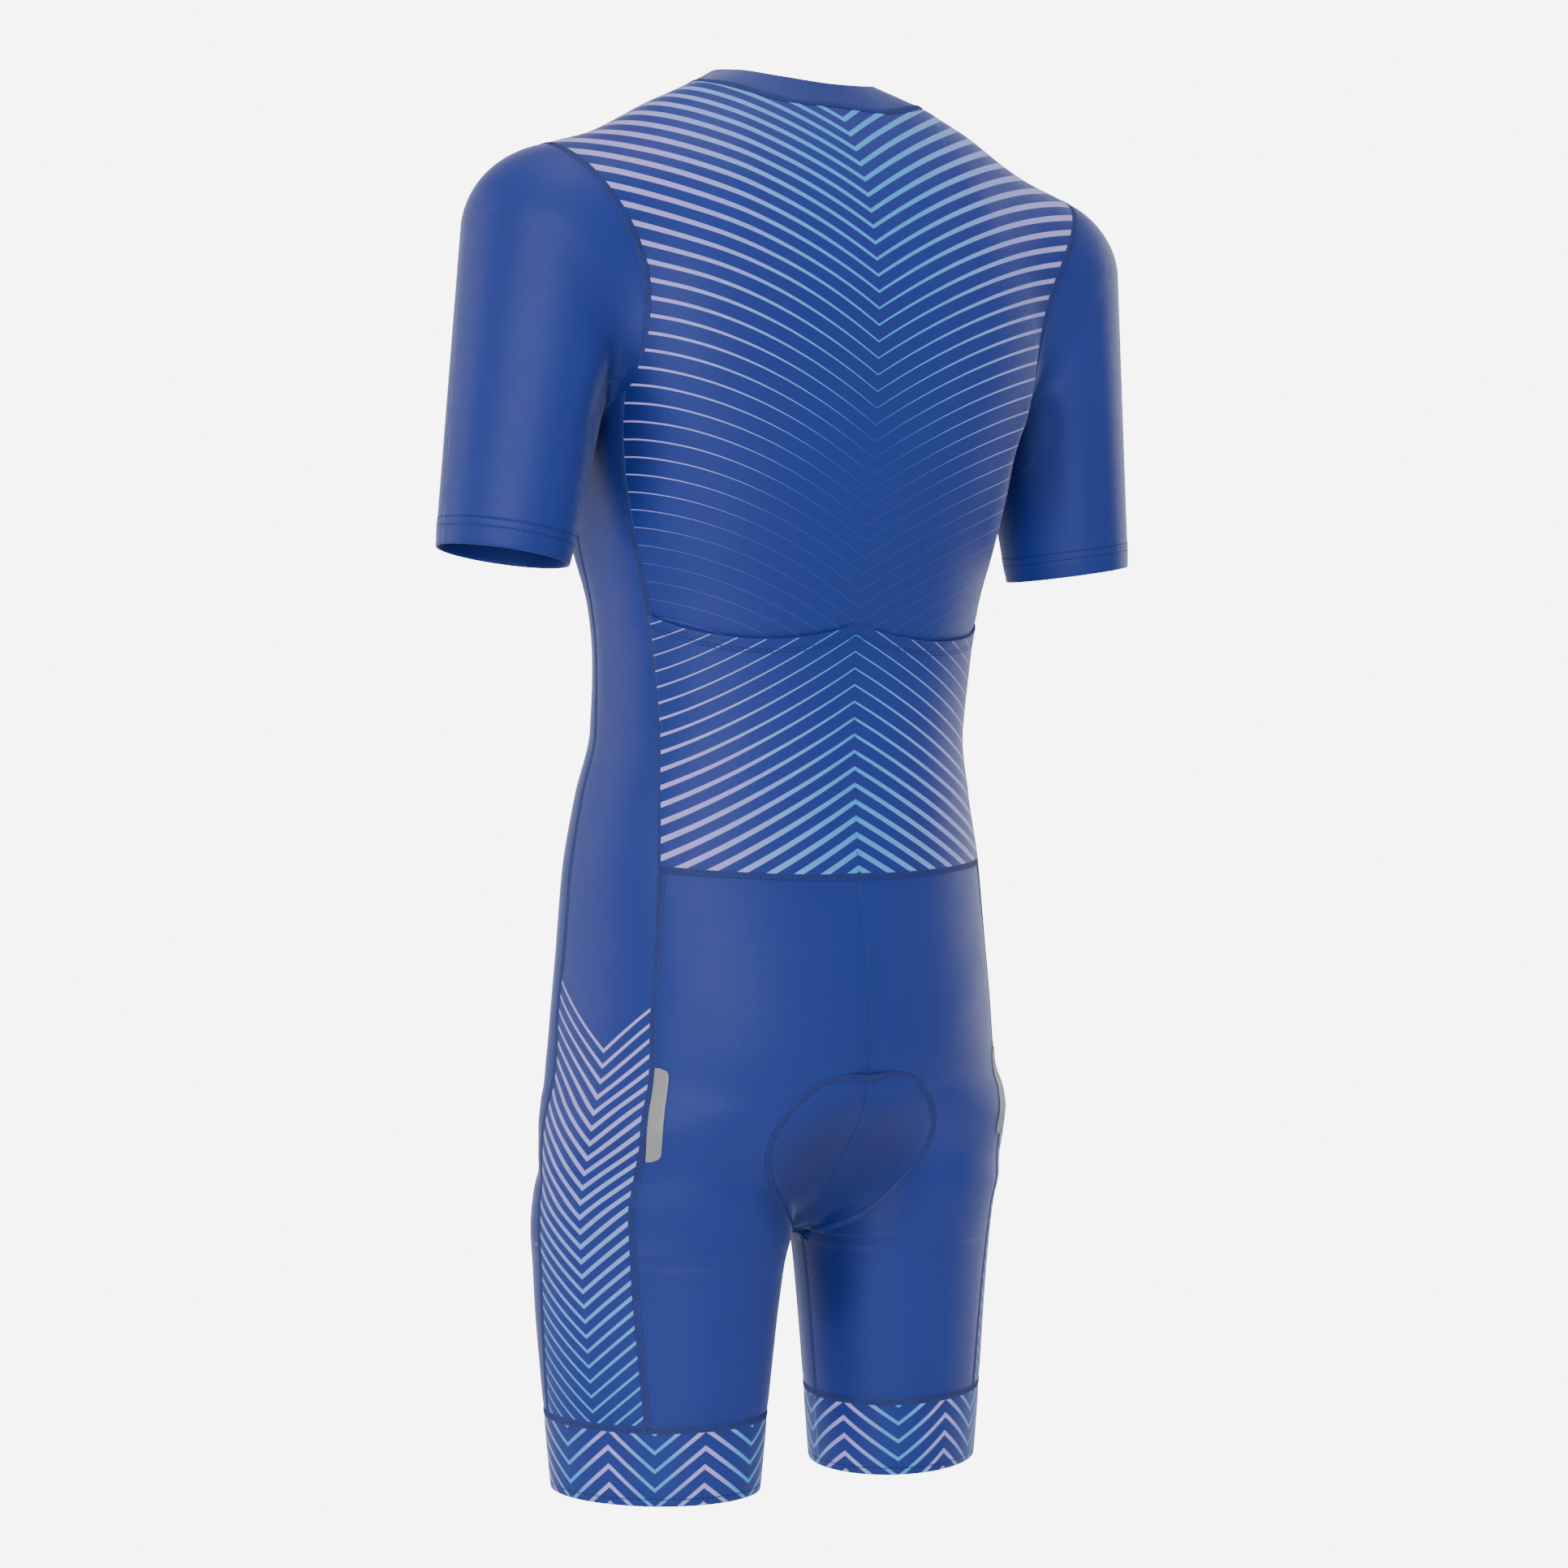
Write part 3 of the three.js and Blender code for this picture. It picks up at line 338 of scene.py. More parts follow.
# %% Seams
WAIST_HEIGHT = -493.5
WAIST_DROP_AT_BACK = 5.5
WAIST_DROP_REACH = 60
BAND_TOP = -841
LEG_HEM = -889
HALVINGS = 26
CENTRE_SEARCH = (150.0, -60)
CROTCH_SEARCH = (-700.0, -760.0)
CROTCH_MARGIN = 0.5
ZIP_END = -440
ZIP_SLOT = 4.4
MIDDLE_SHIFT = {"across": 86, "back": -8, "start": -600, "over": 130}
# Columns: height, across, back
BACK_SIDE_SEAM = [
    (-199, 151, 57),
    (-222, 147.5, 46),
    (-250, 143.5, 41.5),
    (-300, 132.5, 40.5),
    (-352, 120.7, 39.3),
    (-408, 114.5, 38.5),
    (-447, 116, 42),
    (-493, 119, 48),
    (-557, 123.7, 51),
    (-600, 128, 52),
    (-635, 135, 56),
    (-665, 140, 56),
    (-690, 139, 48),
    (-713, 136.5, 42),
    (-763, 131.5, 38.5),
    (-889, 120.5, 38),
]
FRONT_SIDE_SEAM = [
    (-214, 150, -12),
    (-240, 146, -20),
    (-300, 137, -26),
    (-336, 128, -27),
    (-408, 124, -30),
    (-500, 142, -28),
    (-582, 147, -32),
    (-640, 158, -25),
    (-714, 164, -29),
    (-889, 152, -35),
]
# Columns: across, back, height, and the turn round the arm that its cloth runs down to
ARMHOLE = np.array([
    (188, 18, -50, 0),
    (190, 50, -57, 38),
    (179, 74, -76, 72),
    (163, 84, -103, 98),
    (150, 83, -132, 114),
    (147, 79, -162, 127),
    (148, 71, -184, 138),
    (151, 57, -199, 149),
    (152.5, 36, -211, 166),
    (152, 12, -217, 190),
    (150, -12, -214, 210),
    (151, -32, -199, 222),
    (154, -45, -178, 234),
    (161, -52, -148, 246),
    (171, -50, -114, 262),
    (181, -36, -82, 290),
    (187, -10, -59, 327),
])
ARMHOLE_BACK_SIDE = 7
ARMHOLE_FRONT_SIDE = 10
NECK_SEAM = {
    "half": 76, "middle": 8, "back": 52, "front": 70, "rise": 0, "back_drop": 17, "front_drop": 64,
    "corner_spread": 0.15, "corner_sag": 7,
}
COLLAR_TOP = {
    "half": 58, "middle": 6, "back": 45, "front": 58, "rise": 10, "back_drop": 9.4, "front_drop": 56,
    "corner_spread": 0, "corner_sag": 0,
}
CORNER_SCALE = 2.6
SHOULDER_SEAM_ANGLE = math.radians(95)
SLEEVE_HEM = {"height": -302, "tilt": -6.5}
BACK_COLUMNS, SIDE_COLUMNS, FRONT_COLUMNS, SHOULDER_COLUMNS = 7, 4, 8, 4
UPPER_ROWS, UPPER_ROW_EASE = 9, 1.35
SLEEVE_ROWS = 8
SHARED_LEVELS = [-270, -300, -330, -352, -380, -410, -440, -467, WAIST_HEIGHT]
BACK_LEVELS = [-199, -222, -246, *SHARED_LEVELS]
FRONT_LEVELS = [-214, -230, -249, *SHARED_LEVELS]
HIP_LEVELS = [-520, -550, -585, -622, -640, -665, -688, -706, -719, -728]
LEG_LEVELS = [-748, -768, -792, -816, BAND_TOP]
BAND_LEVELS = [BAND_TOP, -865, LEG_HEM]

back_side_at = smooth_table(BACK_SIDE_SEAM)
front_side_at = smooth_table(FRONT_SIDE_SEAM)


def middle_at(z):
    s = smoothstep((MIDDLE_SHIFT["start"] - z) / MIDDLE_SHIFT["over"])
    return MIDDLE_SHIFT["across"] * s, MIDDLE_SHIFT["back"] * s


def halve(inside, outside, is_out):
    """The last place inside, between one that is inside and one that is outside."""
    for _ in range(HALVINGS):
        half = (inside + outside) / 2
        out = is_out(half)
        outside = np.where(out, half, outside)
        inside = np.where(out, inside, half)
    return inside


def centre_line(z, side):
    """How far back (side 1) or forward (side -1) the body's middle line lies, or nan."""
    z = np.atleast_1d(np.asarray(z, float))

    def is_out(reach):
        y = side * reach
        return body_field(np.stack([0 * y, y, z + 0 * y], -1)) > 0

    reaches = np.arange(*CENTRE_SEARCH, -1)[:, None]
    inside = ~is_out(reaches + 0 * z)
    first = reaches[np.argmax(inside, axis=0), 0]
    return np.where(inside.any(0), side * halve(first, first + 1, is_out), np.nan)


def find_crotch():
    low = halve(*np.array(CROTCH_SEARCH), lambda z: np.isnan(centre_line(z, 1)[0]))
    height = float(low) + CROTCH_MARGIN
    return height, float((centre_line(height, 1) + centre_line(height, -1))[0] / 2)


CROTCH_HEIGHT, CROTCH_BACK = find_crotch()
LOWER_LEVELS = [WAIST_HEIGHT, *HIP_LEVELS, CROTCH_HEIGHT, *LEG_LEVELS]
print("crotch at", round(CROTCH_HEIGHT, 1), "mm")

# %% Rows of the panels
OUTLINE_STEP = 4.0
OUTLINE_REACH = 300


def outline(z, angle):
    """Points of the body's outline at a height, in a direction from the middle."""
    z, angle = np.broadcast_arrays(np.asarray(z, float), np.asarray(angle, float))
    across, back = middle_at(z)

    def is_out(r):
        x = across + np.cos(angle) * r
        y = back + np.sin(angle) * r
        return (x < -TINY) | (trunk_field(np.stack([x, y, z + 0 * x], -1)) > 0)

    radii = np.arange(OUTLINE_STEP, OUTLINE_REACH, OUTLINE_STEP).reshape((-1,) + (1,) * z.ndim)
    first = radii[np.argmax(is_out(radii), axis=0)].reshape(z.shape)
    r = halve(first - OUTLINE_STEP, first, is_out)
    return np.stack([across + np.cos(angle) * r, back + np.sin(angle) * r, z], -1)


def angle_to(z, x, y):
    across, back = middle_at(z)
    return np.arctan2(y - back, x - across)


def centre_angle(z, side, across=0):
    z = np.atleast_1d(np.asarray(z, float))
    turn = angle_to(z, 0, CROTCH_BACK)
    below = np.where(turn * side > 0, turn, turn + side * TAU)
    above = angle_to(z, across, np.nan_to_num(centre_line(z, side)))
    return np.where(z <= CROTCH_HEIGHT, below, above)


def side_angle(table, z):
    x, y = np.moveaxis(table(z), -1, 0)
    return angle_to(z, x, y)


def shares(count):
    return np.linspace(0, 1, count + 1)


def rows_between(z_from, angle_from, z_to, angle_to_, columns):
    s = shares(columns)
    z = z_from[:, None] * (1 - s) + z_to[:, None] * s
    return outline(z, angle_from[:, None] * (1 - s) + angle_to_[:, None] * s)


def waist_drop(z, s):
    nearness = np.exp(-(((z - WAIST_HEIGHT) / WAIST_DROP_REACH) ** 2))
    return -WAIST_DROP_AT_BACK * (1 - s * s) * nearness


def back_rows(levels, columns=BACK_COLUMNS):
    z = np.array(levels, float)[:, None]
    s = shares(columns)
    start = centre_angle(z[:, 0], 1)[:, None]
    rows = outline(z + waist_drop(z, s), start + (side_angle(back_side_at, z) - start) * s)
    rows[z[:, 0] > CROTCH_HEIGHT, 0, 0] = 0
    return rows


def front_rows(levels):
    z = np.array(levels, float)
    edge = np.where(z > ZIP_END, ZIP_SLOT, 0)
    start = centre_angle(z, -1, edge)
    return rows_between(z, start, z, side_angle(front_side_at, z), FRONT_COLUMNS)


print("a back row at the waist spans", np.ptp(back_rows([WAIST_HEIGHT])[0, :, 0]).round(), "mm")

# %% Armhole, neck and shoulder
from_shoulder = shares(UPPER_ROWS) ** UPPER_ROW_EASE
to_shoulder = (1 - from_shoulder)[::-1]


def catmull_rom(points, index):
    """A closed smooth loop through the points, read at places counted in points."""
    count = len(points)
    k = np.floor(index).astype(int)
    s = (index - k)[:, None]
    a, b, c, d = (points[(k + n) % count] for n in (-1, 0, 1, 2))
    line = b * (1 - s * s * (3 - 2 * s)) + c * s * s * (3 - 2 * s)
    return line + (c - a) / 2 * s * (1 - s) ** 2 + (d - b) / 2 * s * s * (s - 1)


def armhole_stretch(start, end, fractions):
    index = start + (end - start) * fractions
    points = pull_on(whole_field, catmull_rom(ARMHOLE[:, :3], index))
    turns = np.interp(index, np.arange(len(ARMHOLE) + 1), [*ARMHOLE[:, 3], 360])
    return points, np.radians(turns)


armhole_back, turn_back = armhole_stretch(0, ARMHOLE_BACK_SIDE, from_shoulder)
armhole_under, turn_under = armhole_stretch(
    ARMHOLE_BACK_SIDE, ARMHOLE_FRONT_SIDE, shares(SIDE_COLUMNS))
armhole_front, turn_front = armhole_stretch(ARMHOLE_FRONT_SIDE, len(ARMHOLE), to_shoulder)


def neck_ring(ring, angle):
    c = np.cos(angle)
    depth = np.where(c > 0, ring["back"], ring["front"])
    drop = np.where(c > 0, ring["back_drop"], ring["front_drop"])
    corner = np.where(c > 0, CORNER_SCALE * np.sin(angle) ** 2 * c, 0)
    wide = 1 + ring["corner_spread"] * corner
    across = ring["half"] * np.sin(angle) * wide
    height = ring["rise"] - drop * c * c - ring["corner_sag"] * corner
    return np.stack([across, ring["middle"] + depth * c * wide, height], -1)


def neck_points(angles):
    return pull_on(whole_field, neck_ring(NECK_SEAM, angles))


zip_neck_angle = math.pi - math.asin(ZIP_SLOT / NECK_SEAM["half"])
back_neck_angles = SHOULDER_SEAM_ANGLE * shares(BACK_COLUMNS - SHOULDER_COLUMNS)
front_neck_angles = np.linspace(
    zip_neck_angle, SHOULDER_SEAM_ANGLE, FRONT_COLUMNS - SHOULDER_COLUMNS + 1)
back_neck = neck_points(back_neck_angles)
front_neck = neck_points(front_neck_angles)
shoulder_start = neck_ring(NECK_SEAM, np.array(SHOULDER_SEAM_ANGLE))
shoulder_share = shares(SHOULDER_COLUMNS)[:, None]
shoulder = pull_on(
    whole_field, shoulder_start * (1 - shoulder_share) + ARMHOLE[0, :3] * shoulder_share)


print("armhole is", round(float(np.linalg.norm(np.diff(armhole_back, axis=0), axis=1).sum())),
      "mm down the back")


# %% Coarse grids of the panels
def upper_rows(bottom, top, armhole):
    """Rows from below the arm up to the neck and shoulder, pulled to the armhole."""
    v = to_shoulder[1:-1, None, None]
    pull = armhole[1:-1] - (bottom[-1] * (1 - v[:, 0]) + top[-1] * v[:, 0])
    share = shares(len(bottom) - 1)[None, :, None]
    rows = bottom * (1 - v) + top * v + pull[:, None, :] * share
    rows = pull_on(whole_field, rows)
    rows[:, -1] = armhole[1:-1]
    return rows


def trunk_rows(lower, neck, armhole):
    """All rows of a back or front panel, from the neck down, given those below the arm."""
    lower[0, -1] = armhole[0]
    top = np.concatenate([neck, shoulder[1:]])
    return np.concatenate([top[None], upper_rows(lower[0], top, armhole)[::-1], lower])


def side_panel_rows():
    z_back = np.array([*BACK_LEVELS, *LOWER_LEVELS[1:]], float)
    z_front = np.array([*FRONT_LEVELS, *LOWER_LEVELS[1:]], float)
    rows = rows_between(
        z_back, side_angle(back_side_at, z_back), z_front, side_angle(front_side_at, z_front),
        SIDE_COLUMNS)
    rows[0] = armhole_under
    return rows


def leg_band_rows():
    z = np.array(BAND_LEVELS, float)
    a, b = centre_angle(z, 1), side_angle(back_side_at, z)
    c, d = side_angle(front_side_at, z), centre_angle(z, -1)
    parts = [
        rows_between(z, a, z, b, BACK_COLUMNS),
        rows_between(z, b, z, c, SIDE_COLUMNS)[:, 1:],
        rows_between(z, c, z, d, FRONT_COLUMNS)[:, 1:-1],
    ]
    return np.concatenate(parts, axis=1)


def sleeve_rows():
    loop = np.concatenate([armhole_back, armhole_under[1:], armhole_front[1:-1]])
    turns = np.concatenate([turn_back, turn_under[1:], turn_front[1:-1]])
    hem = np.stack([
        ARM_END[0] + ARM_END_RADII[0] * np.cos(turns),
        ARM_END[1] + ARM_END_RADII[1] * np.sin(turns),
        SLEEVE_HEM["height"] - SLEEVE_HEM["tilt"] * np.cos(turns),
    ], -1)
    hem = pull_on(arm_field, hem)
    v = shares(SLEEVE_ROWS)[1:-1, None, None]
    between = pull_on(sleeve_field, loop * (1 - v) + hem * v)
    return np.concatenate([loop[None], between, hem[None]])


back_coarse = trunk_rows(back_rows(BACK_LEVELS), back_neck, armhole_back[::-1])
front_levels = [*FRONT_LEVELS, *LOWER_LEVELS[1:]]
front_coarse = trunk_rows(front_rows(front_levels), front_neck, armhole_front)
print("half the back", back_coarse.shape[:2], "a front", front_coarse.shape[:2])

# %% [markdown]
# Stretch knit follows the form closely, so the fine grid is the form itself plus a small relief.
# The relief holds what the cloth does on its own: soft pulls that start at the armpits and the
# neck, the shallow valley of the centre seat seam, the swelling over the seat pad, and the sunken
# field under the back pocket. It could be simulated, but tight cloth has so few folds that each
# one can be listed.

# %% Fine grids
CELL = 3.0
ENDS = 3


def parabolic_slopes(values, places):
    gap = np.diff(places).reshape((-1,) + (1,) * (values.ndim - 1))
    rise = np.diff(values, axis=0) / gap
    if len(values) == 2:
        return np.repeat(rise, 2, axis=0)
    middle = (rise[:-1] * gap[1:] + rise[1:] * gap[:-1]) / (gap[:-1] + gap[1:])
    first = 1.5 * rise[:1] - 0.5 * middle[:1]
    last = 1.5 * rise[-1:] - 0.5 * middle[-1:]
    return np.concatenate([first, middle, last])


def finer(values, cell=CELL):
    """More points along the first axis, and how many each gap now holds."""
    chords = np.linalg.norm(np.diff(values, axis=0), axis=-1)
    chords = chords.reshape(len(values) - 1, -1)
    places = np.concatenate([[0], np.cumsum(chords.mean(1) + TINY)])
    counts = np.maximum(1, np.ceil(chords.max(1) / cell).astype(int))
    spans = [
        np.linspace(a, b, n, endpoint=False) for a, b, n in zip(places, places[1:], counts)
    ]
    targets = np.concatenate([*spans, places[-1:]])
    return hermite(values, parabolic_slopes(values, places), places, targets), counts


def fine_grid(rows, field, closed=False):
    """The coarse grid made fine both ways and pulled onto the form."""
    columns = np.swapaxes(finer(rows)[0], 0, 1)
    if closed:
        columns = np.concatenate([columns[-ENDS:], columns, columns[:ENDS + 1]])
    columns, counts = finer(columns)
    if closed:
        columns = columns[counts[:ENDS].sum():-counts[-ENDS:].sum() - 1]
    return pull_on(field, np.swapaxes(columns, 0, 1), LATER_ROUNDS)


def finer_both(rows, cell=CELL, cell_across=CELL):
    """More points both ways, with no form to lie on."""
    columns = np.swapaxes(finer(rows, cell)[0], 0, 1)
    return np.swapaxes(finer(columns, cell_across)[0], 0, 1)


def mirror(points):
    return points * np.array([-1.0, 1, 1])


def both_sides(rows, flip=(-1.0, 1, 1)):
    """Rows that start at the middle, and before them their mirror images."""
    return np.concatenate([rows[:, :0:-1] * np.array(flip), rows], axis=1)


def normals_of(field, points):
    return unit(gradient(field, points))


print("one cell is", CELL, "mm")

# %% Relief of the cloth
SEAM_DIP = 0.45
SEAM_DIP_REACH = 7
SEAT_VALLEY = 1.6
SEAT_VALLEY_WIDTH = 11
PAD_SWELL = 1.1
PAD_EDGE_SOFTNESS = 7
SEAT_BACK_FROM, SEAT_BACK_OVER = 5, 20
VALLEY_TOP, VALLEY_TOP_OVER = -560, 60
VALLEY_END, VALLEY_END_OVER = -732, 24
POCKET_SINK = 1.1
SINK_ABOVE, SINK_OVER = 5, 8
POCKET_LOWEST_MOUTH = -352
POCKET_MOUTH = [
    (0, -342),
    (12, -345.5),
    (34, -349.7),
    (60, POCKET_LOWEST_MOUTH),
    (85, -350.3),
    (106, -346),
    (124, -337),
]
PAD_FOOT = (0, -734)
# Across and height of the seat pad's outline on the back, left side
PAD_OUTLINE = np.array([
    (0, -624.0),
    (17, -622.5),
    (34, -626),
    (50, -640),
    (59, -656),
    (60, -670),
    (54, -686),
    (43, -701),
    (30, -715),
    (16, -727),
    (4, -733),
])
PULL_START, PULL_END = 4, 1.6
# Columns of the cloth's pulls: line of points, half width, depth
PULLS = [
    ([(150, 66, -192), (128, 88, -222), (96, 100, -262)], 13, 1.5),
    ([(-150, 66, -192), (-126, 88, -226), (-88, 102, -276)], 14, 1.9),
    ([(-152, 44, -208), (-136, 60, -262), (-122, 62, -318)], 10, 1.2),
    ([(151, 40, -210), (138, 52, -262)], 10, -1.0),
    ([(160, 66, -176), (182, 66, -196), (206, 56, -214)], 9, 1.4),
    ([(157, 60, -190), (176, 58, -222), (192, 50, -252)], 8, -1.1),
    ([(-160, 66, -176), (-184, 64, -200), (-208, 52, -222)], 9, 1.4),
    ([(-157, 60, -190), (-178, 56, -226)], 8, -1.0),
    ([(70, 56, -22), (84, 86, -70), (88, 104, -128)], 15, 0.9),
    ([(-70, 56, -22), (-88, 84, -66), (-96, 102, -118)], 16, 1.0),
    ([(-20, 62, -16), (-14, 90, -48)], 11, -0.5),
    ([(112, 52, -424), (74, 76, -432), (38, 84, -430)], 9, 0.5),
    ([(-114, 50, -440), (-72, 76, -452), (-30, 84, -450)], 10, 0.6),
    ([(122, 52, -556), (88, 84, -580), (52, 100, -596)], 14, 0.8),
    ([(-122, 52, -548), (-84, 84, -574), (-50, 100, -590)], 15, 0.9),
    ([(8, 20, -732), (36, 54, -722), (70, 70, -706)], 9, 1.2),
    ([(-8, 20, -732), (-38, 54, -724), (-74, 70, -712)], 9, 1.3),
    ([(16, 0, -746), (40, 40, -752), (78, 60, -744)], 9, -0.9),
    ([(-16, 0, -746), (-44, 42, -756), (-84, 62, -752)], 10, -1.0),
    ([(150, -70, -160), (110, -96, -190)], 14, 1.4),
    ([(-150, -70, -160), (-108, -96, -196)], 14, 1.3),
    ([(10, -20, -728), (44, -58, -706), (84, -84, -690)], 10, 1.2),
    ([(-10, -20, -728), (-46, -58, -708), (-88, -84, -696)], 10, 1.3),
]

pocket_mouth_at = smooth_table(POCKET_MOUTH)
print("pulls placed:", len(PULLS))


# %% Relief as functions
def line_nearness(p, line):
    """Squared distance to a line of points, and the share of the way along it."""
    line = np.array(line, float)
    best = np.full(p.shape[:-1], np.inf)
    share = np.zeros(p.shape[:-1])
    for k, (a, b) in enumerate(zip(line, line[1:])):
        ab = b - a
        t = np.clip(((p - a) @ ab) / (ab @ ab), 0, 1)
        gap = ((p - a - t[..., None] * ab) ** 2).sum(-1)
        share = np.where(gap < best, (k + t) / (len(line) - 1), share)
        best = np.minimum(best, gap)
    return best, share


def pulls_relief(p):
    total = np.zeros(p.shape[:-1])
    for line, width, depth in PULLS:
        gap, share = line_nearness(p, line)
        taper = smoothstep(PULL_START * share) * smoothstep(PULL_END * (1 - share))
        total += depth * taper * np.exp(-gap / (width * width))
    return total


def pad_distance(p):
    """Distance from the pad's outline as seen from behind, negative within it."""
    q = np.stack([np.abs(p[..., 0]), p[..., 2]], -1)
    loop = np.concatenate([PAD_OUTLINE, [PAD_FOOT]])
    gap, _ = line_nearness(q, PAD_OUTLINE)
    inside = np.zeros(q.shape[:-1], bool)
    for (x0, z0), (x1, z1) in zip(loop, np.roll(loop, -1, axis=0)):
        crosses = (q[..., 1] < z0) != (q[..., 1] < z1)
        rise = z1 - z0 if abs(z1 - z0) > TINY else TINY
        inside ^= crosses & (q[..., 0] < x0 + (q[..., 1] - z0) / rise * (x1 - x0))
    return np.where(inside, -1, 1) * np.sqrt(gap)


def seat_relief(p):
    on_back = smoothstep((p[..., 1] - SEAT_BACK_FROM) / SEAT_BACK_OVER)
    swell = PAD_SWELL * smoothstep(-pad_distance(p) / PAD_EDGE_SOFTNESS) * on_back
    span = smoothstep((VALLEY_TOP - p[..., 2]) / VALLEY_TOP_OVER)
    span = span * smoothstep((p[..., 2] - VALLEY_END) / VALLEY_END_OVER)
    valley = SEAT_VALLEY * span * np.exp(-((p[..., 0] / SEAT_VALLEY_WIDTH) ** 2)) * on_back
    return swell - valley


def pocket_relief(p):
    mouth = pocket_mouth_at(np.abs(p[..., 0]))[..., 0]
    return -POCKET_SINK * smoothstep((mouth + SINK_ABOVE - p[..., 2]) / SINK_OVER)


print("deepest pull", max(depth for _, _, depth in PULLS), "mm")

# %% [markdown]
# Each panel is cut from a thin knit, here just under a millimetre, and its edges are soft. So a
# piece is a closed wall: the outer grid, the same grid set in by the cloth's thickness, and a
# round rim between them. A solidify modifier would give square rims. The wall also keeps the
# cloth's own measures, across and along, which carry the knit and the print later.

# %% Walls
CLOTH = 0.9
RIM_TURNS = (45, 90, 135)


def length_along(points, axis):
    steps = np.linalg.norm(np.diff(points, axis=axis), axis=-1)
    first = np.zeros_like(np.take(steps, [0], axis=axis))
    return np.cumsum(np.concatenate([first, steps], axis=axis), axis=axis)


def grid_measures(grid, closed):
    """Lengths across and along a grid, and from the nearest of its edges."""
    across, along = length_along(grid, 1), length_along(grid, 0)
    gap = np.minimum(along, along[-1] - along)
    if not closed:
        gap = np.minimum(gap, np.minimum(across, across[:, -1:] - across))
    return across, along, gap


def edge_loop(count_rows, count_columns, closed):
    """Runs of (row, column, row inwards, column inwards) round a grid's open edges."""
    down = np.arange(count_rows)
    right = np.arange(count_columns)
    last_row, last_column = count_rows - 1, count_columns - 1
    if closed:
        bottom = [(last_row, j, last_row - 1, j) for j in right]
        top = [(0, j, 1, j) for j in right[::-1]]
        return [bottom, top]
    loop = [(i, 0, i, 1) for i in down[:-1]]
    loop += [(last_row, j, last_row - 1, j) for j in right[:-1]]
    loop += [(i, last_column, i, last_column - 1) for i in down[:0:-1]]
    loop += [(0, j, 1, j) for j in right[:0:-1]]
    return [loop]


def wall_parts(outer, normals, thickness, closed):
    """Points and four-sided faces of a closed wall with round rims."""
    rows, columns = outer.shape[:2]
    inner = outer - normals * thickness[..., None]
    points = [outer.reshape(-1, 3), inner.reshape(-1, 3)]
    count = rows * columns
    i, j = np.meshgrid(np.arange(rows - 1), np.arange(columns - (not closed)), indexing="ij")
    a, b = i * columns + j, (i + 1) * columns + j
    next_j = (j + 1) % columns
    d, c = i * columns + next_j, (i + 1) * columns + next_j
    outside = np.stack([a, b, c, d], -1).reshape(-1, 4)
    faces = [outside, outside[:, ::-1] + count]
    sources = [np.arange(count), np.arange(count)]
    total = 2 * count
    for loop in edge_loop(rows, columns, closed):
        at = np.array(loop)
        edge = at[:, 0] * columns + at[:, 1]
        out_point, in_point = points[0][edge], points[1][edge]
        inward = points[0][at[:, 2] * columns + at[:, 3]]
        away = out_point - inward
        normal = normals.reshape(-1, 3)[edge]
        away = unit(away - (away * normal).sum(-1, keepdims=True) * normal)
        half = thickness.reshape(-1)[edge][:, None] / 2
        ring_starts = [edge]
        for turn in RIM_TURNS:
            angle = math.radians(turn)
            ring = (out_point + in_point) / 2
            ring = ring + half * (math.cos(angle) * normal + math.sin(angle) * away)
            points.append(ring)
            sources.append(edge)
            ring_starts.append(total + np.arange(len(edge)))
            total += len(edge)
        ring_starts.append(edge + count)
        for near, far in zip(ring_starts, ring_starts[1:]):
            faces.append(np.stack([np.roll(near, -1), near, far, np.roll(far, -1)], -1))
    return np.concatenate(points), np.concatenate(faces), np.concatenate(sources)


print("cloth", CLOTH, "mm thick, with rims of", len(RIM_TURNS), "rings")


# %% Meshes with the cloth's measures
def face_volume(points, faces):
    a, b, c, d = np.moveaxis(points[faces], 1, 0)
    return float(((a * np.cross(b, c)).sum() + (a * np.cross(c, d)).sum()) / 6)


def quads_area(points, faces):
    a, b, c, d = np.moveaxis(points[faces], 1, 0)
    return float((np.linalg.norm(np.cross(c - a, d - b), axis=-1) / 2).sum())


def mesh_from(name, points, faces):
    """An object at the origin from points in millimetres and four-sided faces."""
    mesh = bpy.data.meshes.new(name)
    mesh.vertices.add(len(points))
    mesh.vertices.foreach_set("co", (points * MM).astype(np.float32).ravel())
    mesh.loops.add(faces.size)
    mesh.loops.foreach_set("vertex_index", faces.astype(np.int32).ravel())
    mesh.polygons.add(len(faces))
    mesh.polygons.foreach_set("loop_start", np.arange(0, faces.size, 4, dtype=np.int32))
    mesh.update(calc_edges=True)
    mesh.polygons.foreach_set("use_smooth", np.full(len(faces), True))
    mesh.validate()
    return put(name, mesh)


def set_attribute(piece, name, values):
    layer = piece.data.attributes.new(name, "FLOAT_VECTOR", "POINT")
    layer.data.foreach_set("vector", values.astype(np.float32).ravel())


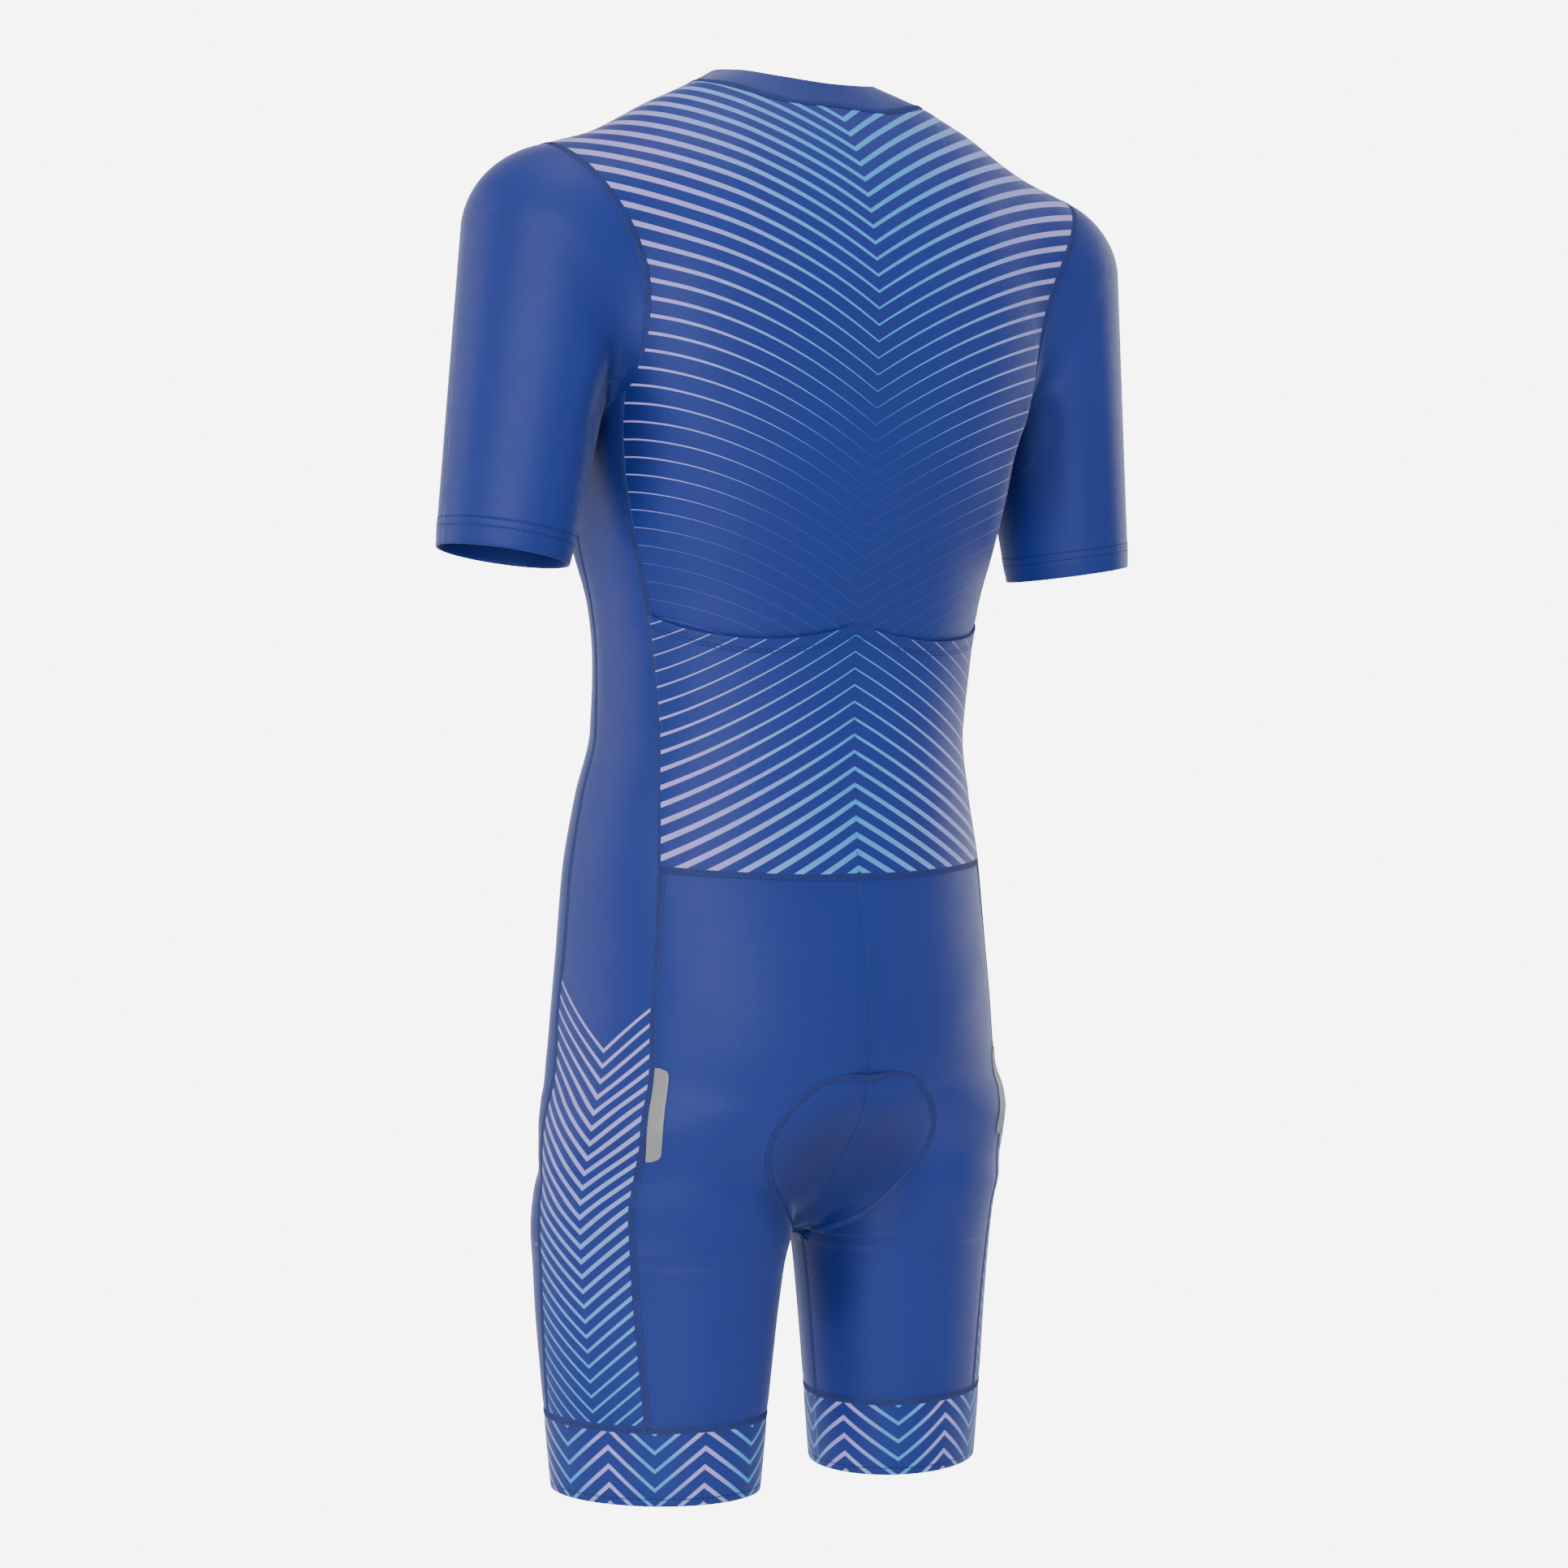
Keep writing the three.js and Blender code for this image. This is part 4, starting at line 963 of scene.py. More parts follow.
def make_wall(name, outer, normals, thickness=CLOTH, closed=False, cut=None):
    """A piece of cloth, with its measures across, along and from its edges and ends."""
    thickness = np.broadcast_to(np.asarray(thickness, float), outer.shape[:2]).copy()
    points, faces, sources = wall_parts(outer, normals, thickness, closed)
    if face_volume(points, faces) < 0:
        faces = faces[:, ::-1]
    piece = mesh_from(name, points, faces)
    across, along, from_edge = grid_measures(outer, closed)
    middle = across.shape[1] // 2
    level = np.broadcast_to(along[:, middle][:, None], across.shape)
    centre = across[:, middle][:, None] if cut == "centred" else 0
    measures = np.stack([across - centre, level, from_edge], -1).reshape(-1, 3) * MM
    set_attribute(piece, "cut", measures[sources])
    outside = (np.arange(len(points)) < outer.shape[0] * outer.shape[1]).astype(float)
    ends = np.stack([along, along[-1] - along], -1).reshape(-1, 2)[sources] * MM
    set_attribute(piece, "ends", np.concatenate([ends, outside[:, None]], -1))
    quads = (outer.shape[0] - 1) * (outer.shape[1] - (not closed))
    facts[name] = {
        "width": float(across[:, -1].max()) * MM,
        "length": float(along[-1].max()) * MM,
        "area": quads_area(points, faces[:quads]) * MM * MM,
    }
    return piece


def keep(thing, slot, **more):
    """Notes a piece's material slot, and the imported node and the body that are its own."""
    pieces[thing.name] = {"object": thing, "slot": slot, **more}


facts = {}
pieces = {}
print("each wall keeps its measures as cut and ends")

# %% [markdown]
# Now the panels themselves. The left ones are worked out and the right ones are their mirror
# images, each with its own relief, because pulled cloth is never quite the same on both sides.
# A sewer joins them in the same order: back to sides, sides to front, seat to waist, then
# sleeves, collar and leg bands.

# %% Panels
HEM_EXTRA = 0.5
HEM_REACH = 17
HEM_SOFTNESS = 1.5
HEM_STEP = 0.25
COLLAR_CLOTH = 1.5
SEAM_HALF_GAP = 0.12


def relief_at(p, extra=()):
    """How far the cloth stands off the form at each point."""
    return pulls_relief(p) + sum((f(p) for f in extra), np.zeros(p.shape[:-1]))


def seam_dip(grid, closed=False):
    """The cloth dips a little towards each seam that bounds it."""
    return -SEAM_DIP * np.exp(-((grid_measures(grid, closed)[2] / SEAM_DIP_REACH) ** 2))


def add_panel_piece(name, node, grid, field, extra=(), dips=True, lift=0, clamp=False,
                    slot="cloth", **wall):
    """One cloth panel on its grid of points, and how its wall is made where that is special."""
    normals = normals_of(field, grid)
    height = relief_at(grid, extra)
    if dips:
        height = height + seam_dip(grid, wall.get("closed", False))
    outer = grid + normals * (height + lift)[..., None]
    if clamp:
        side = np.where(grid[..., 0] >= 0, 1, -1)
        outer[..., 0] = side * np.maximum(np.abs(outer[..., 0]), SEAM_HALF_GAP)
    keep(make_wall(name, outer, normals, **wall), slot, node=node)
    return outer


grids = {
    "back": fine_grid(both_sides(back_coarse), whole_field),
    "front": fine_grid(front_coarse, trunk_field),
    "side": fine_grid(side_panel_rows(), trunk_field),
    "seat": fine_grid(back_rows(LOWER_LEVELS), body_field),
    "leg_band": fine_grid(leg_band_rows(), body_field, closed=True),
    "sleeve": fine_grid(sleeve_rows(), sleeve_field, closed=True),
}
for key in ("front", "seat"):
    grids[key][:, 0, 0] = np.maximum(grids[key][:, 0, 0], 0)
print({key: grid.shape[:2] for key, grid in grids.items()})

# %% Trunk, sleeves and bands
sleeve_along = length_along(grids["sleeve"], 0)
to_hem = sleeve_along[-1] - sleeve_along
sleeve_hem = smoothstep((HEM_REACH - to_hem) / HEM_SOFTNESS)

add_panel_piece("back", "back_panel", grids["back"], whole_field, extra=(pocket_relief,),
                cut="centred")
for side, turn in (("left", lambda g: g), ("right", mirror)):
    add_panel_piece(f"front_{side}_cloth", f"front_{side}", turn(grids["front"]), trunk_field,
                    clamp=True)
    add_panel_piece(f"side_{side}_cloth", f"side_{side}", turn(grids["side"]), trunk_field)
    add_panel_piece(f"seat_{side}_cloth", f"seat_{side}", turn(grids["seat"]), body_field,
                    extra=(seat_relief,), clamp=True)
    add_panel_piece(f"leg_band_{side}_cloth", f"leg_band_{side}", turn(grids["leg_band"]),
                    body_field, closed=True, slot="leg_band", thickness=CLOTH + HEM_EXTRA / 2)
    add_panel_piece(f"sleeve_{side}_cloth", f"sleeve_{side}", turn(grids["sleeve"]), sleeve_field,
                    closed=True, lift=HEM_STEP * sleeve_hem,
                    thickness=CLOTH + HEM_EXTRA * sleeve_hem)
print("panels", len(pieces))

# %% [markdown]
# The collar is a low doubled band that leans in to the neck. The pocket is one patch over the
# lower back, open at its curved top edge and sewn down in the middle, so each half gapes a
# little. The seat pad lies inside, between the legs, and is thickest in its middle.

# %% Collar
COLLAR_ROWS = 2
COLLAR_CELLS = (2.0, 2.4)

half_angles = np.concatenate([front_neck_angles[:-1], back_neck_angles[::-1]])


def collar_grid():
    seam = neck_points(half_angles)
    edge = neck_ring(COLLAR_TOP, half_angles)
    edge[0, 0] = ZIP_SLOT
    v = shares(COLLAR_ROWS)[:, None, None]
    half = seam * (1 - v) + edge * v
    return finer_both(np.concatenate([half, mirror(half[:, -2::-1])], axis=1), *COLLAR_CELLS)


def grid_normals(grid):
    """Directions out of the neck, from each point's neighbours."""
    n = unit(np.cross(np.gradient(grid, axis=1), np.gradient(grid, axis=0)))
    away = (n[..., :2] * grid[..., :2]).sum(-1) < 0
    return np.where(away[..., None], -n, n)


collar = collar_grid()
collar_normals = grid_normals(collar)
keep(make_wall("collar_band", collar, collar_normals, COLLAR_CLOTH), "cloth", node="collar")
print("collar grid", collar.shape[:2])

# %% Pocket
POCKET_COLUMNS = 7
POCKET_GAPE = 2.4
GAPE_ROUNDNESS = 0.7
GAPE_EASE = 0.6
POCKET_LIFT = 0.15
MOUTH_HEM = 8
MOUTH_ROUNDS = 4


def pocket_rows():
    s = shares(POCKET_COLUMNS)
    levels = np.array([z for z in BACK_LEVELS if z < POCKET_LOWEST_MOUTH], float)[:, None]

    def at(z):
        start = centre_angle(z.ravel(), 1).reshape(z.shape)
        angle = start + (side_angle(back_side_at, z) - start) * s
        return outline(z + waist_drop(z, s), angle)

    mouth = np.full((1, len(s)), float(POCKET_MOUTH[0][1]))
    for _ in range(MOUTH_ROUNDS):
        mouth = pocket_mouth_at(at(mouth)[..., 0])[..., 0]
    rows = np.concatenate([at(mouth), at(levels + 0 * s)])
    height = (levels - WAIST_HEIGHT) / (POCKET_LOWEST_MOUTH - WAIST_HEIGHT)
    openness = np.concatenate([[[1.0]], np.clip(height, 0, 1) ** GAPE_EASE])
    bulge = POCKET_GAPE * openness * np.sin(np.pi * s) ** GAPE_ROUNDNESS
    return rows, bulge


rows, bulge = pocket_rows()
rows[..., 0, 0] = 0
packed = np.concatenate([rows, bulge[..., None]], -1)
packed = finer_both(both_sides(packed, [-1.0, 1, 1, 1]))
pocket = pull_on(body_field, packed[..., :3], LATER_ROUNDS)
pocket_bulge = np.maximum(0, packed[..., 3])
under_mouth = MOUTH_HEM - length_along(pocket, 0)
pocket_thickness = CLOTH + HEM_EXTRA * smoothstep(under_mouth / HEM_SOFTNESS)
pocket_outer = add_panel_piece(
    "pocket", "back_pocket", pocket, body_field, lift=POCKET_LIFT + pocket_bulge,
    thickness=pocket_thickness, dips=False, cut="centred")
print("pocket grid", pocket.shape[:2])

# %% Pad
PAD_COLUMNS = 4
PAD_GAP = 0.4
PAD_CROTCH_GAP = 6
PAD_CROTCH_REACH = 20
PAD_EDGE, PAD_MIDDLE = 2.4, 5.0
PAD_TAPER = {"lengthwise": 3, "crosswise": 2.5}
# Columns: height, half width
PAD_BACK = [(-622, 26), (-640, 56), (-665, 66), (-688, 64), (-706, 52), (-719, 38), (-728, 22)]
PAD_FRONT = [(-728, 20), (-719, 30), (-706, 38), (-688, 42), (-665, 40), (-650, 26)]
PAD_CROTCH_HALF = 9
PAD_FRONT_TOP = -665
PAD_CELL = 3.5


def row_at(row, distances):
    """Points at distances along a row."""
    along = length_along(row, 0)
    return np.stack([np.interp(distances, along, row[:, k]) for k in range(3)], -1)


def pad_rows():
    s = shares(PAD_COLUMNS)
    levels = np.array(LOWER_LEVELS)
    seat, front = back_rows(LOWER_LEVELS), front_rows(LOWER_LEVELS)
    back_half, front_half = smooth_table(PAD_BACK), smooth_table(PAD_FRONT)
    above = levels > CROTCH_HEIGHT
    rows = [row_at(seat[i], s * back_half(levels[i])[0])
            for i in np.where(above & (levels <= PAD_BACK[0][0]))[0]]
    inseam = seat[levels <= CROTCH_HEIGHT, 0]
    rows.append(row_at(inseam, s * PAD_CROTCH_HALF))
    rows += [row_at(front[i], s * front_half(levels[i])[0])
             for i in np.where(above & (levels <= PAD_FRONT_TOP))[0][::-1]]
    return np.array(rows)


def pad_share(count, rate):
    place = np.arange(count)
    return np.minimum(1, rate * np.minimum(place, count - 1 - place) / (count - 1))


coarse = pad_rows()
normals = normals_of(body_field, coarse)
near_crotch = np.exp(-(((coarse[..., 2] - CROTCH_HEIGHT) / PAD_CROTCH_REACH) ** 2))
pad_depth = CLOTH + PAD_GAP + PAD_SWELL / 2 + PAD_CROTCH_GAP * near_crotch
packed = np.concatenate([coarse - normals * pad_depth[..., None], normals], -1)
packed = finer_both(both_sides(packed, [-1.0, 1, 1, -1, 1, 1]), PAD_CELL, PAD_CELL)
pad_points, pad_normals = packed[..., :3], unit(packed[..., 3:])
lengthwise = pad_share(packed.shape[0], PAD_TAPER["lengthwise"])[:, None]
crosswise = pad_share(packed.shape[1], PAD_TAPER["crosswise"])
pad_rise = smoothstep(np.minimum(lengthwise, crosswise))
pad_thickness = PAD_EDGE + (PAD_MIDDLE - PAD_EDGE) * pad_rise
keep(make_wall("pad", pad_points, pad_normals, pad_thickness), "pad", node="seat_pad")
print("pad grid", pad_points.shape[:2])

# %% [markdown]
# The reflective tabs are heat-sealed beside the back side seams, so they are thin and flat with
# round corners. The zip tapes run behind the edges of the front, from the collar down, and stop
# where the zip does.

# %% Tabs and zip tapes
TAB_LEVELS = (-615, -672)
TAB_WIDTH = 11.6
TAB_CORNER = 5.5
TAB_THICKNESS = 0.5
TAB_ROWS, TAB_COLUMNS = 40, 9
TAB_MARGIN = 2.6
TAB_LIFT = 0.35
TAPE_EDGES = (0.4, 12.5)
TAPE_DEPTH = 1.6
TAPE_THICKNESS = 0.7
TAPE_COLUMNS = 6
TAPE_START = 3


def tab_grid(side):
    z = np.linspace(*TAB_LEVELS, TAB_ROWS)
    seat = back_rows(z, TAB_ROWS)
    from_top = TAB_LEVELS[0] - z
    from_end = np.minimum(from_top, z - TAB_LEVELS[1])
    short = TAB_CORNER - np.minimum(from_end, TAB_CORNER)
    inset = TAB_CORNER - np.sqrt(np.maximum(TAB_CORNER**2 - short**2, 0))
    edges = [row_at(seat[k][::-1], np.array([TAB_MARGIN, TAB_WIDTH])) for k in (0, -1)]
    share = (from_top / from_top[-1])[:, None, None]
    edges = edges[0] * (1 - share) + edges[1] * share
    reach = (1 - inset / (TAB_WIDTH - TAB_MARGIN))[:, None] * np.linspace(0, 1, TAB_COLUMNS)
    rows = edges[:, :1] + (edges[:, 1:] - edges[:, :1]) * reach[..., None]
    rows = pull_on(body_field, rows, LATER_ROUNDS)
    return rows if side == "left" else mirror(rows)


def tape_grid(side):
    front = grids["front"][grids["front"][:, 0, 2] >= ZIP_END]
    x = np.linspace(*TAPE_EDGES, TAPE_COLUMNS)
    y = np.array([np.interp(x, row[:, 0], row[:, 1]) for row in front])
    rows = np.stack([x + 0 * y, y, front[:, :1, 2] + 0 * x], -1)
    rows = pull_on(trunk_field, rows, LATER_ROUNDS)
    edge = collar[::-1][TAPE_START:-1, :1]
    neck = np.concatenate([x[:, None] + 0 * edge[..., :1], edge[..., 1:] + 0 * x[:, None]], -1)
    neck_normals = collar_normals[::-1][TAPE_START:-1, :1] + 0 * neck
    rows = np.concatenate([neck, rows])
    normals = np.concatenate([neck_normals, normals_of(trunk_field, rows[len(neck):])])
    return (rows, normals) if side == "left" else (mirror(rows), mirror(normals))


for side in ("left", "right"):
    grid = tab_grid(side)
    normals = normals_of(body_field, grid)
    lift = relief_at(grid, (seat_relief,)) + TAB_LIFT + TAB_THICKNESS
    piece = make_wall(f"tab_{side}_film", grid + normals * lift[..., None], normals, TAB_THICKNESS)
    keep(piece, "reflective_tab", node=f"tab_{side}")
    grid, normals = tape_grid(side)
    piece = make_wall(f"tape_{side}", grid - normals * TAPE_DEPTH, normals, TAPE_THICKNESS)
    keep(piece, "zip_tape", node=f"zip_tape_{side}")
print("pieces so far", len(pieces))

# %% [markdown]
# The panels meet in flatlock seams: their edges lie side by side under a flat band of thread
# about five millimetres wide, so nothing rubs when the suit is worn. A band here is a low crowned
# strip that follows the seam. The machine's zigzag on it repeats thousands of times, so that is
# left to Geometry Nodes.

# %% Seam bands
BAND_HALF = 2.4
PAD_BAND_HALF = 1.9
PLAIN_BAND_HALF = 1.0
BAND_RISE = 0.32
BAND_SINK = 0.55
BAND_STEP = 2.0
BAND_SHAPE = ((1, -BAND_SINK), (1, 0.25 * BAND_RISE), (0.8, 0.85 * BAND_RISE), (0.3, BAND_RISE))


def band_section(half):
    left = [(-half * x, y) for x, y in BAND_SHAPE]
    return np.array(left + [(-x, y) for x, y in left[::-1]])


def even_line(points, step, closed=False):
    """The same line with its points at equal distances."""
    if closed:
        points = np.concatenate([points, points[:1]])
    total = np.linalg.norm(np.diff(points, axis=0), axis=1).sum()
    line = row_at(points, np.linspace(0, total, max(2, int(round(total / step))) + 1))
    return line[:-1] if closed else line


def tangents(line, closed):
    if closed:
        return unit(np.roll(line, -1, axis=0) - np.roll(line, 1, axis=0))
    return unit(np.gradient(line, axis=0))


def run_of(line, normals, closed=False):
    return {"line": line, "normals": normals, "closed": closed}


def seam_line(points, field, closed=False, extra=(), lift=-SEAM_DIP):
    """A line on the cloth with its directions out, at a height off the form."""
    line = pull_on(field, even_line(points, BAND_STEP, closed), LATER_ROUNDS)
    normals = normals_of(field, line)
    height = relief_at(line, extra) + lift
    return run_of(line + normals * height[:, None], normals, closed)


def with_mirrored(seams):
    """The seams of the left side, then the same ones on the right."""
    return [*seams, *(run_of(mirror(s["line"]), mirror(s["normals"]), s["closed"]) for s in seams)]


def sweep(seam, section):
    """Points and faces of a closed strip with that section along a line."""
    line, normals, closed = seam["line"], seam["normals"], seam["closed"]
    sideways = unit(np.cross(normals, tangents(line, closed)))
    ring = line[:, None] + sideways[:, None] * section[:, :1] + normals[:, None] * section[:, 1:]
    count, corners = ring.shape[:2]
    i, j = np.arange(count if closed else count - 1)[:, None], np.arange(corners)[None]
    here, ahead, following = i * corners, (i + 1) % count * corners, (j + 1) % corners
    faces = np.stack([here + j, here + following, ahead + following, ahead + j], -1)
    faces = faces.reshape(-1, 4)
    if not closed:
        k = np.arange(corners // 2 - 1)
        cap = np.stack([k, corners - 1 - k, corners - 2 - k, k + 1], -1)
        faces = np.concatenate([faces, cap, cap[:, ::-1] + (count - 1) * corners])
    return ring.reshape(-1, 3), faces


def joined(parts):
    """Several closed shells as one set of points and faces, each facing out."""
    points, faces, total = [], [], 0
    for p, f in parts:
        points.append(p)
        faces.append((f if face_volume(p, f) > 0 else f[:, ::-1]) + total)
        total += len(p)
    return np.concatenate(points), np.concatenate(faces)


def keep_bands(name, seams, half):
    """One piece of all the bands of that half width along some seams."""
    parts = [sweep(seam, band_section(half)) for seam in seams]
    keep(mesh_from(name, *joined(parts)), "cloth")


print("a band is", len(band_section(BAND_HALF)), "points round")

# %% Lines of the seams
MIDDLE_SEAM_LIFT, PLAIN_SEAM_LIFT = -0.1, -0.4
SHOULDER_SKIP = 2
ZIP_FOOT = 4
PAD_PROBE = (130, 2, 400)
PAD_LINE_CELL, PAD_LINE_SINK = 4.0, 0.35

side_rows, seat_grid, front_grid = grids["side"], grids["seat"], grids["front"]
shoulder_line = pull_on(whole_field, finer(shoulder)[0], LATER_ROUNDS)
below_zip = front_grid[(front_grid[:, 0, 2] < ZIP_END - ZIP_FOOT), 0]
inseam_part = seat_grid[:, 0, 2] <= CROTCH_HEIGHT

left_seams = [
    seam_line(side_rows[:, 0], trunk_field),
    seam_line(side_rows[:, -1], trunk_field),
    seam_line(grids["sleeve"][0], whole_field, closed=True),
    seam_line(shoulder_line[SHOULDER_SKIP:], whole_field),
    seam_line(seat_grid[inseam_part, 0], body_field),
    seam_line(grids["leg_band"][0], body_field, closed=True),
]
middle_seams = [
    seam_line(collar[0], whole_field, lift=MIDDLE_SEAM_LIFT),
    seam_line(grids["back"][-1], body_field, lift=MIDDLE_SEAM_LIFT),
]
plain_seams = [
    seam_line(seat_grid[~inseam_part, 0], body_field, extra=(seat_relief,),
              lift=PLAIN_SEAM_LIFT),
    seam_line(below_zip, body_field, lift=PLAIN_SEAM_LIFT),
]
pad_side = np.array([(x, 0.0, z) for x, z in PAD_OUTLINE])
reaches = np.linspace(*PAD_PROBE)
probe = pad_side[:, None] + np.array([0, 1.0, 0]) * reaches[:, None]
pad_side[:, 1] = reaches[np.argmax(body_field(probe) < 0, axis=1)]
pad_side = finer(pad_side, PAD_LINE_CELL)[0]
pad_loop = np.concatenate([mirror(pad_side[:0:-1]), pad_side])
pad_seam = seam_line(pad_loop, body_field, lift=PAD_SWELL / 2 - PAD_LINE_SINK)
flat_seams = [*with_mirrored(left_seams), *middle_seams]
keep_bands("seams", flat_seams, BAND_HALF)
keep_bands("centre_seams", plain_seams, PLAIN_BAND_HALF)
keep_bands("pad_line", [pad_seam], PAD_BAND_HALF)
seam_metres = sum(np.linalg.norm(np.diff(s["line"], axis=0), axis=1).sum() for s in flat_seams)
print("flatlock", round(seam_metres * MM, 1), "m")

# %% [markdown]
# One node tree sews every run of stitches. It takes a line with its directions out, spaces points
# along it, and sets a short round thread on each, turned one way and then the other. Its inputs
# are the pitch, the turn and the thread's size, so the zigzag, the straight hem stitches and the
# zip's teeth come from the same tree.

# %% Stitch tree
GROUP_INPUTS = (
    ("Line", "NodeSocketGeometry", None),
    ("Pitch", "NodeSocketFloat", 0.0017),
    ("Turn", "NodeSocketFloat", 0.8),
    ("Sideways", "NodeSocketFloat", 0.0),
    ("Size", "NodeSocketVector", (0.002, 0.0003, 0.0003)),
    ("Block", "NodeSocketBool", False),
    ("Thread", "NodeSocketMaterial", None),
)


def make_stitch_tree():
    tree = bpy.data.node_groups.new("run of stitches", "GeometryNodeTree")
    sockets = {}
    for name, kind, value in GROUP_INPUTS:
        socket = tree.interface.new_socket(name, in_out="INPUT", socket_type=kind)
        if value is not None:
            socket.default_value = value
        sockets[name] = socket.identifier
    tree.interface.new_socket("Stitches", in_out="OUTPUT", socket_type="NodeSocketGeometry")

    def add(kind, settings=None, **links):
        """Adds a node and gives its first output. Inputs are named, or _0, _1 and so on."""
        node = tree.nodes.new(kind)
        for key, value in (settings or {}).items():
            setattr(node, key, value)
        for key, value in links.items():
            target = node.inputs[int(key[1:])] if key[1:].isdigit() else node.inputs[key]
            if isinstance(value, bpy.types.NodeSocket):
                tree.links.new(value, target)
            else:
                target.default_value = value
        return node.outputs[0]

    def worked(kind, operation, *values):
        links = {f"_{k}": value for k, value in enumerate(values)}
        return add(kind, {"operation": operation}, **links)

    given = tree.nodes.new("NodeGroupInput").outputs
    curve = add("GeometryNodeMeshToCurve", Mesh=given["Line"])
    even = add("GeometryNodeResampleCurve", {"mode": "LENGTH"}, Curve=curve, Length=given["Pitch"])
    out = add("GeometryNodeInputNamedAttribute", {"data_type": "FLOAT_VECTOR"}, Name="out")
    along = add("GeometryNodeInputTangent")
    rotation = add("FunctionNodeAxesToRotation", {"primary_axis": "Z", "secondary_axis": "X"},
                   _0=out, _1=along)
    odd = worked("ShaderNodeMath", "MODULO", add("GeometryNodeInputIndex"), 2.0)
    sign = worked("ShaderNodeMath", "MULTIPLY_ADD", odd, 2.0, -1.0)
    angle = worked("ShaderNodeMath", "MULTIPLY", sign, given["Turn"])
    twist = add("FunctionNodeAxisAngleToRotation", _0=(0, 0, 1), _1=angle)
    turned = add("FunctionNodeRotateRotation", {"rotation_space": "LOCAL"}, _0=rotation, _1=twist)
    ball = add("GeometryNodeMeshIcoSphere", Radius=0.5, Subdivisions=1)
    cube = add("GeometryNodeMeshCube", Size=(1, 1, 1))
    shape = add("GeometryNodeSwitch", {"input_type": "GEOMETRY"}, _0=given["Block"], _1=ball,
                _2=cube)
    cross = worked("ShaderNodeVectorMath", "CROSS_PRODUCT", out, along)
    shift = worked("ShaderNodeMath", "MULTIPLY", sign, given["Sideways"])
    offset = add("ShaderNodeVectorMath", {"operation": "SCALE"}, _0=cross, Scale=shift)
    placed = add("GeometryNodeSetPosition", Geometry=even, Offset=offset)
    run = add("GeometryNodeInstanceOnPoints", Points=placed, Instance=shape, Rotation=turned,
              Scale=given["Size"])
    real = add("GeometryNodeRealizeInstances", Geometry=run)
    dyed = add("GeometryNodeSetMaterial", Geometry=real, Material=given["Thread"])
    end = tree.nodes.new("NodeGroupOutput")
    tree.links.new(dyed, end.inputs[0])
    return tree, sockets


stitch_tree, stitch_sockets = make_stitch_tree()
print("stitch tree nodes", len(stitch_tree.nodes))

# %% [markdown]
# Threads are much finer than the camera can part, but they break up the light along each seam.
# The flatlock's needles go through both edges, and the looper thread crosses between them, which
# reads as a zigzag. Hems and the pocket's mouth have two straight rows from a twin needle.

# %% Sewing
ZIGZAG = {"Pitch": 0.0017, "Turn": 0.95, "Size": (0.0042, 0.00045, 0.0003)}
PAD_ZIGZAG = {"Pitch": 0.0017, "Turn": 0.95, "Size": (0.0032, 0.0004, 0.0003)}
STRAIGHT = {"Pitch": 0.0036, "Turn": 0.0, "Size": (0.0028, 0.0004, 0.0003)}
TEETH = {"Pitch": 0.0014, "Turn": 0.0, "Sideways": 0.0008, "Block": True,
         "Size": (0.0009, 0.0026, 0.0012)}
HEM_LINES = (11, 16)
BAND_HEM_LINE = 4
MOUTH_LINES = (6, 8)
DIVIDER_OFFSETS = (-1.0, 1.0)
TOOTH_SINK = 1.0
SEWING_STEP = 1.5
TO_MIDDLE = np.array([0, 1.0, 1])


def line_object(name, seams, lift):
    """A bare mesh of lines, with the directions out kept as an attribute."""
    lines, outs, edges, total = [], [], [], 0
    for seam in seams:
        ends = slice(0, 1 if seam["closed"] else 0)
        line = np.concatenate([seam["line"], seam["line"][ends]])
        out = np.concatenate([seam["normals"], seam["normals"][ends]])
        lines.append(line + out * lift)
        outs.append(out)
        edges += [(total + k, total + k + 1) for k in range(len(line) - 1)]
        total += len(line)
    mesh = bpy.data.meshes.new(name)
    mesh.from_pydata(np.concatenate(lines) * MM, edges, [])
    piece = put(name, mesh)
    set_attribute(piece, "out", np.concatenate(outs))
    return piece


def sew(name, seams, thread, inputs, lift=0.0, slot="cloth"):
    """Runs the stitch tree along the lines and keeps the plain mesh that it makes."""
    piece = line_object(name, seams, lift)
    modifier = piece.modifiers.new("stitches", "NODES")
    modifier.node_group = stitch_tree
    for key, value in {**inputs, "Thread": thread}.items():
        modifier[stitch_sockets[key]] = value
    evaluated = piece.evaluated_get(bpy.context.evaluated_depsgraph_get())
    plain = bpy.data.meshes.new_from_object(evaluated)
    piece.modifiers.remove(modifier)
    piece.data = plain
    smooth = not inputs.get("Block", False)
    plain.polygons.foreach_set("use_smooth", np.full(len(plain.polygons), smooth))
    keep(piece, slot)


def at_distance(grid, distance, from_top=False):
    """The point of each column of a grid at a distance from its last row, or from its first."""
    along = length_along(grid, 0)
    place = np.full(grid.shape[1], distance) if from_top else along[-1] - distance
    return np.array([row_at(grid[:, j], place[j]) for j in range(grid.shape[1])])


def pocket_line(distance):
    """A line on the pocket's own cloth, at a distance under its mouth."""
    line = even_line(at_distance(pocket_outer, distance, from_top=True), SEWING_STEP)
    return run_of(line, normals_of(body_field, line))


